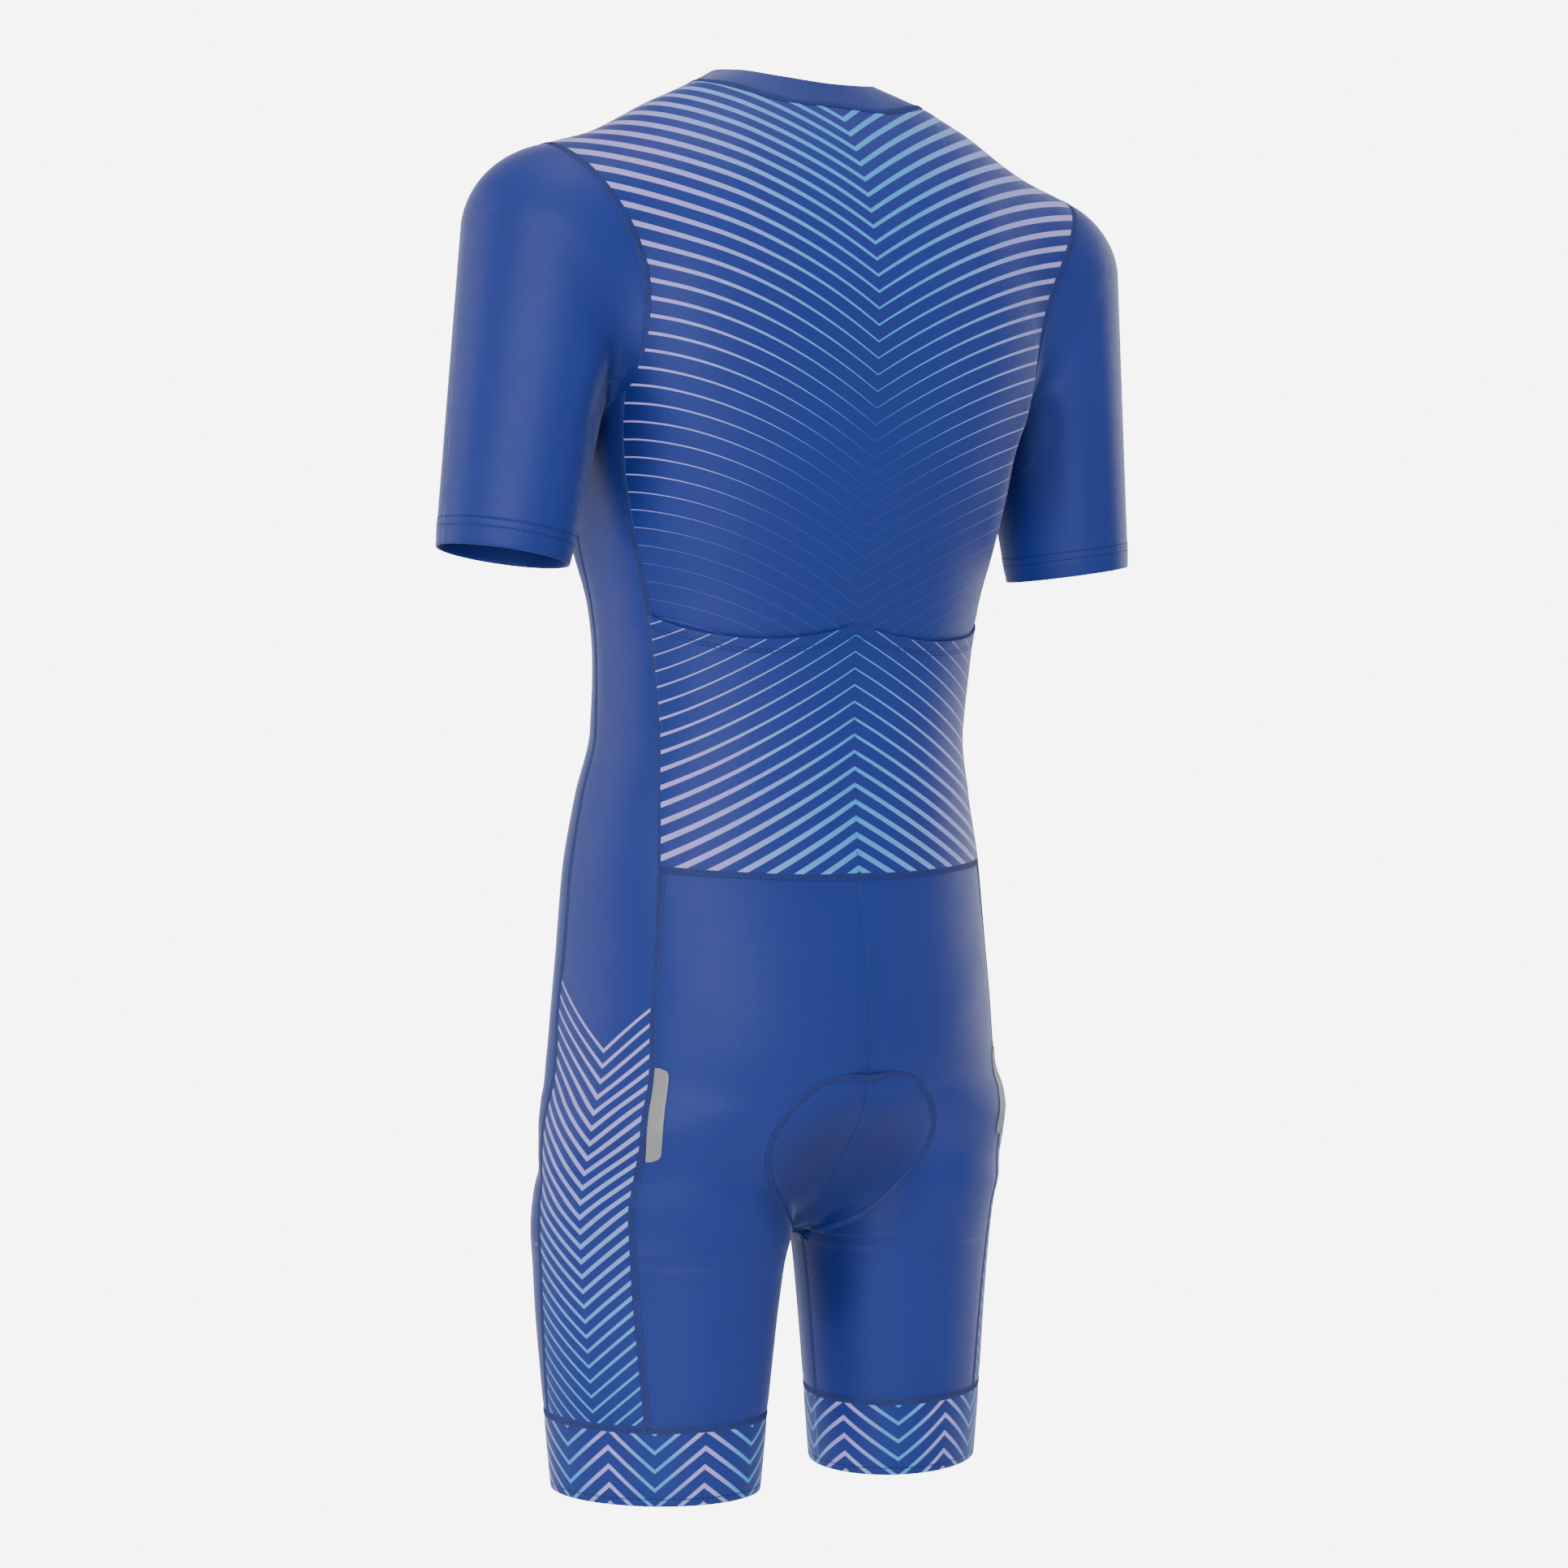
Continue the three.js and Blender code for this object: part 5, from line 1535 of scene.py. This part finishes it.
sleeve_hems = [seam_line(at_distance(grids["sleeve"], d), arm_field, True, lift=HEM_STEP)
               for d in HEM_LINES]
band_hems = [seam_line(at_distance(grids["leg_band"], BAND_HEM_LINE), body_field, True, lift=0)]
divider = pocket_outer[:, pocket_outer.shape[1] // 2]
divider_lines = [divider + np.array([x, 0, 0]) for x in DIVIDER_OFFSETS]
straight_seams = [
    *plain_seams, *with_mirrored(sleeve_hems), *with_mirrored(band_hems),
    *(pocket_line(d) for d in MOUTH_LINES),
    *(run_of(line, normals_of(body_field, line)) for line in divider_lines),
]
tape_rows, tape_normals = tape_grid("left")
teeth_line = (tape_rows[:, 0] - tape_normals[:, 0] * TOOTH_SINK) * TO_MIDDLE
teeth_line = even_line(teeth_line, SEWING_STEP)
teeth_seam = run_of(teeth_line, unit(normals_of(trunk_field, teeth_line) * TO_MIDDLE))
print("straight runs", len(straight_seams), "zip", round(float(np.ptp(teeth_line[:, 2]))), "mm")

# %% [markdown]
# The slider is a small die-cast body: two wedge-shaped plates round the teeth, a bridge on top,
# and a pull tab that hangs from the bridge by its eye. The plates are drawn as outlines and
# extruded with soft edges. The pull turns on the bridge, so it is a piece of its own.

# %% Slider and pull
ZIP_PLACE = np.array([0.0, -72.731, -84.0])
HINGE_PLACE = np.array([0.0, -74.966, -83.945])
ZIP_SLOPE_SPAN = 6
SLIDER_OUTLINE = [(-3.5, 5.0), (3.5, 5.0), (3.8, 3.6), (2.6, -4.4), (1.8, -5.3), (-1.8, -5.3),
                  (-2.6, -4.4), (-3.8, 3.6)]
PLATE_HEIGHTS = (-0.85, 0.75)
PLATE_THICKNESS = 0.5
BRIDGE_LINE = [(-3.7, 0.9), (-3.6, 2.6), (-2.6, 3.6), (0, 3.85), (2.6, 3.6), (3.6, 2.6), (3.7, 0.9)]
BRIDGE_HALF = 1.1
BRIDGE_SHORTENING, BRIDGE_THICKNESS = 0.82, 0.75
POST_OUTLINE = [(-0.9, 4.8), (0.9, 4.8), (0.5, 1.0), (-0.5, 1.0)]
POST_THICKNESS = 1.4
PULL_LENGTH, PULL_HALF, PULL_THICKNESS = 23.2, 2.8, 0.95
PULL_TOP = [(-2.7, 0), (-2.2, 0.5), (2.2, 0.5), (2.7, 0)]
PULL_EYE = [(-1.6, -0.75), (1.6, -0.75), (1.6, -5.7), (-1.6, -5.7)]
PULL_HOLE_AT, PULL_HOLE_RADIUS = -17.5, 1.5
PULL_HOLE_END = 345
SOFT_EDGE, THINNEST = 0.16, 0.01
ARC_STEPS = 14

slope_heights = ZIP_PLACE[2] + np.array([0, ZIP_SLOPE_SPAN])
below, above = outline(slope_heights, -math.pi / 2)
zip_down = unit(below - above)
zip_across = np.array([1.0, 0, 0])
zip_out = unit(np.cross(zip_down, zip_across))


def plate(outlines, thickness, depth):
    """A flat plate with soft edges: outlines in the plane across and up, depth out of it."""
    curve = bpy.data.curves.new("outline", "CURVE")
    curve.dimensions = "2D"
    curve.fill_mode = "BOTH"
    curve.extrude = max(THINNEST, thickness / 2 - SOFT_EDGE)
    curve.bevel_depth = SOFT_EDGE
    curve.bevel_resolution = 2
    curve.offset = -SOFT_EDGE
    for points in outlines:
        spline = curve.splines.new("POLY")
        spline.points.add(len(points) - 1)
        spline.points.foreach_set("co", [v for x, y in points for v in (x, y, 0, 1)])
        spline.use_cyclic_u = True
    holder = put("outline", curve)
    evaluated = holder.evaluated_get(bpy.context.evaluated_depsgraph_get())
    mesh = bpy.data.meshes.new_from_object(evaluated)
    bpy.data.objects.remove(holder)
    bpy.data.curves.remove(curve)
    points = np.zeros(len(mesh.vertices) * 3)
    mesh.vertices.foreach_get("co", points)
    faces = [tuple(p.vertices) for p in mesh.polygons]
    bpy.data.meshes.remove(mesh)
    points = points.reshape(-1, 3)
    points[:, 2] += depth
    return points, faces


def stand(points, place):
    """From the zip's own frame, across, up and out, to the suit's."""
    return place + points[:, :1] * zip_across - points[:, 1:2] * zip_down + points[:, 2:] * zip_out


def metal_piece(name, shells, place):
    points, faces, total = [], [], 0
    for p, f in shells:
        points.append(stand(p, place))
        faces += [tuple(v + total for v in face) for face in f]
        total += len(p)
    mesh = bpy.data.meshes.new(name)
    mesh.from_pydata(np.concatenate(points) * MM, [], faces)
    shape = bmesh.new()
    shape.from_mesh(mesh)
    bmesh.ops.remove_doubles(shape, verts=shape.verts, dist=WELD)
    bmesh.ops.recalc_face_normals(shape, faces=shape.faces)
    shape.to_mesh(mesh)
    shape.free()
    return put(name, mesh)


def arc(centre, radius, start, end):
    turns = np.radians(np.linspace(start, end, ARC_STEPS))
    return [(centre[0] + radius * math.cos(t), centre[1] + radius * math.sin(t)) for t in turns]


bridge_out = [(y, x) for y, x in BRIDGE_LINE]
bridge_in = [(y * BRIDGE_SHORTENING, x - BRIDGE_THICKNESS) for y, x in BRIDGE_LINE[::-1]]
bridge_points, bridge_faces = plate([bridge_out + bridge_in], 2 * BRIDGE_HALF, 0)
bridge_points = bridge_points[:, [2, 0, 1]]
post = plate([POST_OUTLINE], POST_THICKNESS, 0)
shells = [plate([SLIDER_OUTLINE], PLATE_THICKNESS, h) for h in PLATE_HEIGHTS]
slider = metal_piece("slider", [*shells, (bridge_points, bridge_faces), post], ZIP_PLACE)
keep(slider, "zip_metal", node="zip_slider")

rounded_end = arc((0, -PULL_LENGTH + PULL_HALF), PULL_HALF, 360, 180)
pull_outline = [*PULL_TOP[1:], *rounded_end, PULL_TOP[0]]
pull_hole = arc((0, PULL_HOLE_AT), PULL_HOLE_RADIUS, 0, PULL_HOLE_END)
pull = metal_piece("pull_tab", [plate([pull_outline, PULL_EYE, pull_hole], PULL_THICKNESS, 0)],
                   HINGE_PLACE)
keep(pull, "zip_metal", node="zip_pull", body="pull")
print("slider", len(slider.data.polygons), "pull", len(pull.data.polygons), "faces")

# %% [markdown]
# The finishes are node trees. A small class wraps a socket, so sums and products of sockets read
# as arithmetic, and each operator adds the node that does it. Everything is tied to the cloth's
# own measures or to the object's place, never to the camera.

# %% Sockets as numbers
def link_or_set(tree, value, target):
    if isinstance(value, Flow):
        value = value.socket
    if isinstance(value, bpy.types.NodeSocket):
        tree.links.new(value, target)
    else:
        target.default_value = value


class Flow:
    """A socket whose sums, products and powers are nodes."""

    def __init__(self, tree, socket):
        self.tree = tree
        self.socket = socket

    def math(self, operation, *others, clamp=False):
        node = self.tree.nodes.new("ShaderNodeMath")
        node.operation = operation
        node.use_clamp = clamp
        for target, value in zip(node.inputs, (self, *others)):
            link_or_set(self.tree, value, target)
        return Flow(self.tree, node.outputs[0])

    def __add__(self, other):
        return self.math("ADD", other)

    def __sub__(self, other):
        return self.math("SUBTRACT", other)

    def __mul__(self, other):
        return self.math("MULTIPLY", other)

    def __truediv__(self, other):
        return self.math("DIVIDE", other)

    def __rsub__(self, other):
        return self * -1 + other

    __radd__ = __add__
    __rmul__ = __mul__

    def clamped(self):
        return self.math("ADD", 0.0, clamp=True)

    def smooth(self, low, high):
        """0 at low, 1 at high, smooth between. low may be above high."""
        return self.node("ShaderNodeMapRange", {"interpolation_type": "SMOOTHSTEP"},
                         {0: self, 1: low, 2: high}).out(0)

    def node(self, kind, settings, links):
        """Any other node, by its type, settings and socket values or links."""
        node = self.tree.nodes.new(kind)
        for key, value in settings.items():
            setattr(node, key, value)
        for key, value in links.items():
            link_or_set(self.tree, value, node.inputs[key])
        return Node(self.tree, node)

    def mixed(self, first, second):
        """A colour between two, with this socket as the share of the second."""
        return self.node("ShaderNodeMix", {"data_type": "RGBA"},
                         {0: self, 6: first, 7: second}).out(2)


class Node:
    def __init__(self, tree, node):
        self.tree = tree
        self.node = node

    def out(self, key):
        return Flow(self.tree, self.node.outputs[key])


def split(flow, vector):
    parts = flow.node("ShaderNodeSeparateXYZ", {}, {0: vector})
    return parts.out(0), parts.out(1), parts.out(2)


class Finish:
    """A material with its shader, its object coordinates and the cloth's own measures."""

    def __init__(self, name, **constants):
        self.material = bpy.data.materials.new(name)
        self.material.use_nodes = True
        self.tree = self.material.node_tree
        self.shader = self.tree.nodes["Principled BSDF"]
        for key, value in constants.items():
            self.shader.inputs[key.replace("_", " ")].default_value = value
        self.start = Flow(self.tree, self.tree.nodes.new("ShaderNodeValue").outputs[0])
        coordinates = self.start.node("ShaderNodeTexCoord", {}, {})
        self.place = coordinates.out("Object")
        self.x, self.y, self.z = split(self.start, self.place)
        self.across, self.along, self.edge = self.measures("cut")
        self.from_top, self.from_hem, self.outside = self.measures("ends")

    def measures(self, name):
        """The three parts of one of the cloth's own attributes."""
        layer = self.start.node("ShaderNodeAttribute", {"attribute_name": name}, {})
        return split(self.start, layer.out("Vector"))

    def noise(self, scale, detail=2.0):
        links = {"Vector": self.place, "Scale": scale, "Detail": detail}
        return self.start.node("ShaderNodeTexNoise", {}, links).out(0)

    def bump(self, height, distance, strength, below=None):
        links = {"Height": height, "Distance": distance, "Strength": strength}
        if below is not None:
            links["Normal"] = below
        return self.start.node("ShaderNodeBump", {}, links).out(0)

    def set(self, key, value):
        link_or_set(self.tree, value, self.shader.inputs[key])


print("shader helpers ready")

# %% [markdown]
# The knit is a fine satin one: ribs of loops about half a millimetre apart, which give a slight
# grain and a soft sheen. Over it runs a print of tapering chevrons, from lavender to cyan. The
# stripes are worked out from the place on the suit, so they stay sharp at any distance, where a
# picture would blur.

# %% Knit and print
BLUE = (0.0175, 0.0345, 0.262, 1)
BLUE_DEEP = (0.0140, 0.0285, 0.225, 1)
SEAM_BLUE = (0.0085, 0.0256, 0.190, 1)
THREAD_BLUE = (0.0070, 0.0210, 0.158, 1)
LAVENDER = (0.52, 0.42, 1.0, 1)
CYAN = (0.055, 0.40, 1.0, 1)
PRINT_COVER, PRINT_ROUGHER = 0.9, 0.06
NOISE_MIDDLE = (0.3, 0.7)
TONE_SCALE, TONE_SHARE = 7.0, 0.5
ROUGH_SCALE, ROUGH_CHANGE, KNIT_ROUGHNESS = 60.0, 0.08, 0.42
# Painted shade: how far it reaches from each seam and how dark it gets there, and how dark it gets
# along sewn lines.
SEAM_SHADE_REACH, SEAM_SHADE, LINE_SHADE = 0.012, 0.35, 0.5
RIB_PITCH, LOOP_PITCH, RIB_SHARE = 0.00055, 0.0007, 0.6
KNIT_DEPTH = 0.00006
PUCKER_PITCH, PUCKER_REACH, PUCKER_DEPTH = 0.009, 0.007, 0.00035
STRIPE_SOFTNESS = 0.00022
LINE_REACH, LINE_DEPTH = 0.0011, 0.0003
LEG_CENTRE = (0.0905, -0.010)
# Painted shade in the crotch, over the seat pad and in the armpits: its colour, its share, and each
# spot's centre and reach.
PAINTED_SHADE_BLUE = (0.0020, 0.0110, 0.115, 1)
PAINTED_SHADE_SHARE = 0.7
PAINTED_SHADE_SPOTS = (((0.012, 0.075, -0.690), (0.062, 0.075, 0.072)),
           ((0.012, 0.015, -0.750), (0.034, 0.065, 0.060)),
           ((0.154, 0.040, -0.215), (0.044, 0.050, 0.095)))
# The prints, in metres: the stripes' pitch and slant, their width and how it changes, the
# places where it changes, and those between which the colour goes over
BACK_PITCH, BACK_SLANT, BACK_BOW = 0.0102, 0.62, -1.4
BACK_WIDTH, BACK_WIDENS, BACK_FADE_SLANT = 0.0034, 0.006, -0.35
BACK_THINS, BACK_FADES, BACK_HUES = (0.25, 0.02), (0.27, 0.19), (0.02, 0.16)
POCKET_PITCH, POCKET_SLANT = 0.0104, -0.55
POCKET_WIDTH, POCKET_GROWTH = 0.0007, 0.0032
POCKET_GROWS, POCKET_HUES = (0.345, 0.5), (0.0, 0.13)
SIDE_PITCH, SIDE_SLANT, SIDE_MIDDLE, SIDE_START = 0.0094, 0.8, 0.036, 0.5995
SIDE_WIDTH, SIDE_GROWTH, SIDE_LOSS = 0.0022, 0.0014, 0.0018
SIDE_GROWS, SIDE_THINS, SIDE_HUES = (0.57, 0.66), (0.7, 0.84), (0.84, 0.6)
BAND_CHEVRONS = 6
BAND_PITCH, BAND_SLANT = 0.0118, 0.026
BAND_WIDTH, BAND_GROWTH, BAND_HUES = 0.0026, 0.0008, (0.15, 0.95)
BLOTCH_SCALE, WEAR_SCALE, WEAR_CHANGE = 90.0, 140.0, 0.1
PAD_BLUE = (0.018, 0.045, 0.16, 1)
TAPE_BLUE = (0.015, 0.036, 0.14, 1)
TEETH_BLUE = (0.02, 0.05, 0.17, 1)
FILM_GREY = (0.30, 0.30, 0.305, 1)
METAL_GREY = (0.30, 0.32, 0.35, 1)
FLOOR_GREY = (0.9, 0.9, 0.9, 1)
CLOTH_CONSTANTS = {"Sheen_Weight": 0.55, "Sheen_Roughness": 0.27,
                   "Sheen_Tint": (0.62, 0.68, 1.0, 1), "Specular_IOR_Level": 0.30}


def stripes(value, pitch, width):
    """1 on stripes of that width along a measure in metres, 0 between them."""
    phase = (value / pitch).math("FRACT")
    off = (phase - 0.5).math("ABSOLUTE") * pitch
    return ((width * 0.5 - off) / STRIPE_SOFTNESS + 0.5).clamped()


def back_print(f):
    """Vees over the upper back, thin and gone by its middle."""
    wide, depth = f.x.math("ABSOLUTE"), f.z * -1
    measure = depth + wide * BACK_SLANT + (wide * wide) * BACK_BOW
    width = depth.smooth(*BACK_THINS) * BACK_WIDTH + wide * BACK_WIDENS
    fade = (depth + wide * BACK_FADE_SLANT).smooth(*BACK_FADES)
    return stripes(measure, BACK_PITCH, width * fade), wide.smooth(*BACK_HUES)


def pocket_print(f):
    """Roof shapes on the pocket, bolder towards its lower edge."""
    wide, depth = f.x.math("ABSOLUTE"), f.z * -1
    width = depth.smooth(*POCKET_GROWS) * POCKET_GROWTH + POCKET_WIDTH
    return stripes(depth + wide * POCKET_SLANT, POCKET_PITCH, width), wide.smooth(*POCKET_HUES)


def side_print(f):
    """Chevrons down the thigh's side, from the hip to the leg band."""
    wide, depth = (f.across - SIDE_MIDDLE).math("ABSOLUTE"), f.z * -1
    measure = depth + wide * SIDE_SLANT
    width = depth.smooth(*SIDE_GROWS) * SIDE_GROWTH + SIDE_WIDTH
    width = width - depth.smooth(*SIDE_THINS) * SIDE_LOSS
    mask = stripes(measure, SIDE_PITCH, width) * measure.math("GREATER_THAN", SIDE_START)
    return mask, depth.smooth(*SIDE_HUES)


def band_print(f):
    """A row of chevrons round each leg band."""
    across = f.x.math("ABSOLUTE") - LEG_CENTRE[0]
    turn = (f.y - LEG_CENTRE[1]).math("ARCTAN2", across)
    wave = (turn * (BAND_CHEVRONS / math.pi)).math("PINGPONG", 1.0)
    width = wave * BAND_GROWTH + BAND_WIDTH
    return stripes(f.z * -1 + wave * BAND_SLANT, BAND_PITCH, width), wave.smooth(*BAND_HUES)


print("prints for", [p.__name__ for p in (back_print, pocket_print, side_print, band_print)])


# %% Finish of the knit and of the rest
def sewn_lines(distance, lines):
    """1 along each sewn line at those distances in millimetres, 0 between them."""
    total = 0
    for line in lines:
        total = (distance - line * MM).math("ABSOLUTE").smooth(LINE_REACH, 0.0) + total
    return total


def painted_hollow_shade(f):
    """1 in the middle of each spot of painted shade where the knit turns inwards, 0 away from all.
    """
    total = 0
    for (across, back, height), reach in PAINTED_SHADE_SPOTS:
        offset = (f.x.math("ABSOLUTE") - across, f.y - back, f.z - height)
        far = sum((axis / size) * (axis / size) for axis, size in zip(offset, reach))
        total = far.smooth(1.0, 0.0) + total
    return total.clamped()


def knit_finish(name, print_of=None, sewn=None):
    f = Finish(name, **CLOTH_CONSTANTS)
    tone = f.noise(TONE_SCALE, 3.0).smooth(*NOISE_MIDDLE) * TONE_SHARE
    # The knit's colour: a random tone, and painted shade in the crotch, over the pad and in the
    # armpits.
    colour = (painted_hollow_shade(f) * PAINTED_SHADE_SHARE).mixed(tone.mixed(BLUE, BLUE_DEEP), PAINTED_SHADE_BLUE)
    # Painted shade: the knit goes darker towards each seam.
    seam_painted_shade = (f.edge / -SEAM_SHADE_REACH).math("EXPONENT") * SEAM_SHADE
    colour = seam_painted_shade.mixed(colour, SEAM_BLUE)
    rough = f.noise(ROUGH_SCALE) * ROUGH_CHANGE + KNIT_ROUGHNESS
    if print_of is not None:
        mask, hue = print_of(f)
        mask = mask * f.outside.math("GREATER_THAN", 0.5)
        colour = (mask * PRINT_COVER).mixed(colour, hue.mixed(CYAN, LAVENDER))
        rough = rough + mask * PRINT_ROUGHER
    knit = None
    if sewn is not None:
        line = sewn(f)
        # Painted shade along each sewn line, where the stitches pull a groove.
        colour = (line * LINE_SHADE).mixed(colour, SEAM_BLUE)
        knit = f.bump(line * -1, LINE_DEPTH, 0.8)
    f.set("Base Color", colour)
    f.set("Roughness", rough)
    ribs = (f.across * (TAU / RIB_PITCH)).math("SINE")
    loops = (f.along * (TAU / LOOP_PITCH)).math("SINE")
    knit = f.bump(ribs * RIB_SHARE + loops * (1 - RIB_SHARE), KNIT_DEPTH, 0.5, knit)
    reach = (f.edge / -PUCKER_REACH).math("EXPONENT")
    run = f.noise(1 / PUCKER_PITCH, 1.0)
    f.set("Normal", f.bump(run * reach, PUCKER_DEPTH, 0.8, knit))
    return f.material


def plain_finish(name, colour, rough, grain=0.0, depth=0.0001, blotch=0.18, **constants):
    f = Finish(name, **constants)
    shade = tuple(c * (1 - blotch) for c in colour[:3]) + (1,)
    f.set("Base Color", f.noise(BLOTCH_SCALE).smooth(*NOISE_MIDDLE).mixed(colour, shade))
    f.set("Roughness", f.noise(WEAR_SCALE) * WEAR_CHANGE + rough)
    if grain:
        f.set("Normal", f.bump(f.noise(grain), depth, 0.6))
    return f.material


print("a rib is", RIB_PITCH / MM, "mm wide")

# %% Finishes
finishes = {
    "cloth": knit_finish("satin knit"),
    "back": knit_finish("satin knit, back print", back_print),
    "sleeve": knit_finish("satin knit, hemmed", None, lambda f: sewn_lines(f.from_hem, HEM_LINES)),
    "pocket": knit_finish("satin knit, pocket print", pocket_print,
                          lambda f: sewn_lines(f.from_top, MOUTH_LINES)),
    "side": knit_finish("satin knit, side print", side_print),
    "leg_band": knit_finish("leg band, printed", band_print,
                            lambda f: sewn_lines(f.from_hem, (BAND_HEM_LINE,))),
    "seam": plain_finish("flatlock seam", SEAM_BLUE, 0.6, 900.0),
    "thread": plain_finish("thread", THREAD_BLUE, 0.55),
    "pad": plain_finish("brushed pad", PAD_BLUE, 0.85, 1500.0, 0.0002, Sheen_Weight=0.6),
    "tab": plain_finish("reflective film", FILM_GREY, 0.42, 2600.0, 0.00003, blotch=0.05,
                        Coat_Weight=0.15),
    "tape": plain_finish("zip tape", TAPE_BLUE, 0.7, 1800.0, 0.0002),
    "teeth": plain_finish("zip teeth", TEETH_BLUE, 0.35),
    "metal": plain_finish("coated zip metal", METAL_GREY, 0.28, 400.0, 0.00002, Metallic=1.0),
    "floor": plain_finish("pale floor", FLOOR_GREY, 0.8, blotch=0.0),
}
FINISH_OF = {
    "back": "back", "pocket": "pocket", "seams": "seam", "pad_line": "seam", "pad": "pad",
    "slider": "metal", "pull_tab": "metal",
}
PREFIXES = {
    "sleeve_": "sleeve", "side_": "side", "leg_band_": "leg_band", "tab_": "tab",
    "tape_": "tape",
}

print("finishes", len(finishes))

# %% Sewing on and dressing
sew("zigzag", flat_seams, finishes["thread"], ZIGZAG, BAND_RISE)
sew("pad_zigzag", [pad_seam], finishes["thread"], PAD_ZIGZAG, BAND_RISE)
sew("hem_stitches", straight_seams, finishes["thread"], STRAIGHT)
sew("teeth", [teeth_seam], finishes["teeth"], TEETH, slot="zip_tape")

for name, piece in pieces.items():
    finish = FINISH_OF.get(name)
    for prefix, key in PREFIXES.items():
        finish = key if name.startswith(prefix) else finish
    mesh = piece["object"].data
    if not mesh.materials:
        mesh.materials.append(finishes[finish or "cloth"])
floor.data.materials.append(finishes["floor"])
face_counts = {name: len(piece["object"].data.polygons) for name, piece in pieces.items()}
print("faces", face_counts)

# %% [markdown]
# Last, each piece is tied to the body that it moves with and takes the place of its plain wall.
# The knit was cut smaller than it is when worn: it stretches by about an eighth round the body
# and a little lengthwise.

# %% Bodies and flat sizes
STRETCH_ROUND, STRETCH_ALONG = 1.12, 1.04

for name, piece in pieces.items():
    thing = piece["object"]
    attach(thing, piece.get("body", "suit"))
    if "node" in piece:
        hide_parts(piece["node"])

for name, fact in facts.items():
    if name == "pad" or name.startswith("tab_"):
        continue
    stretched = name not in ("tape_left", "tape_right")
    round_, along = (STRETCH_ROUND, STRETCH_ALONG) if stretched else (1, 1)
    flat = (fact["width"] / round_, fact["length"] / along)
    min(fact["area"] / round_ / along, flat[0] * flat[1])
    print(name, [round(v * 1000) for v in flat], "mm flat")
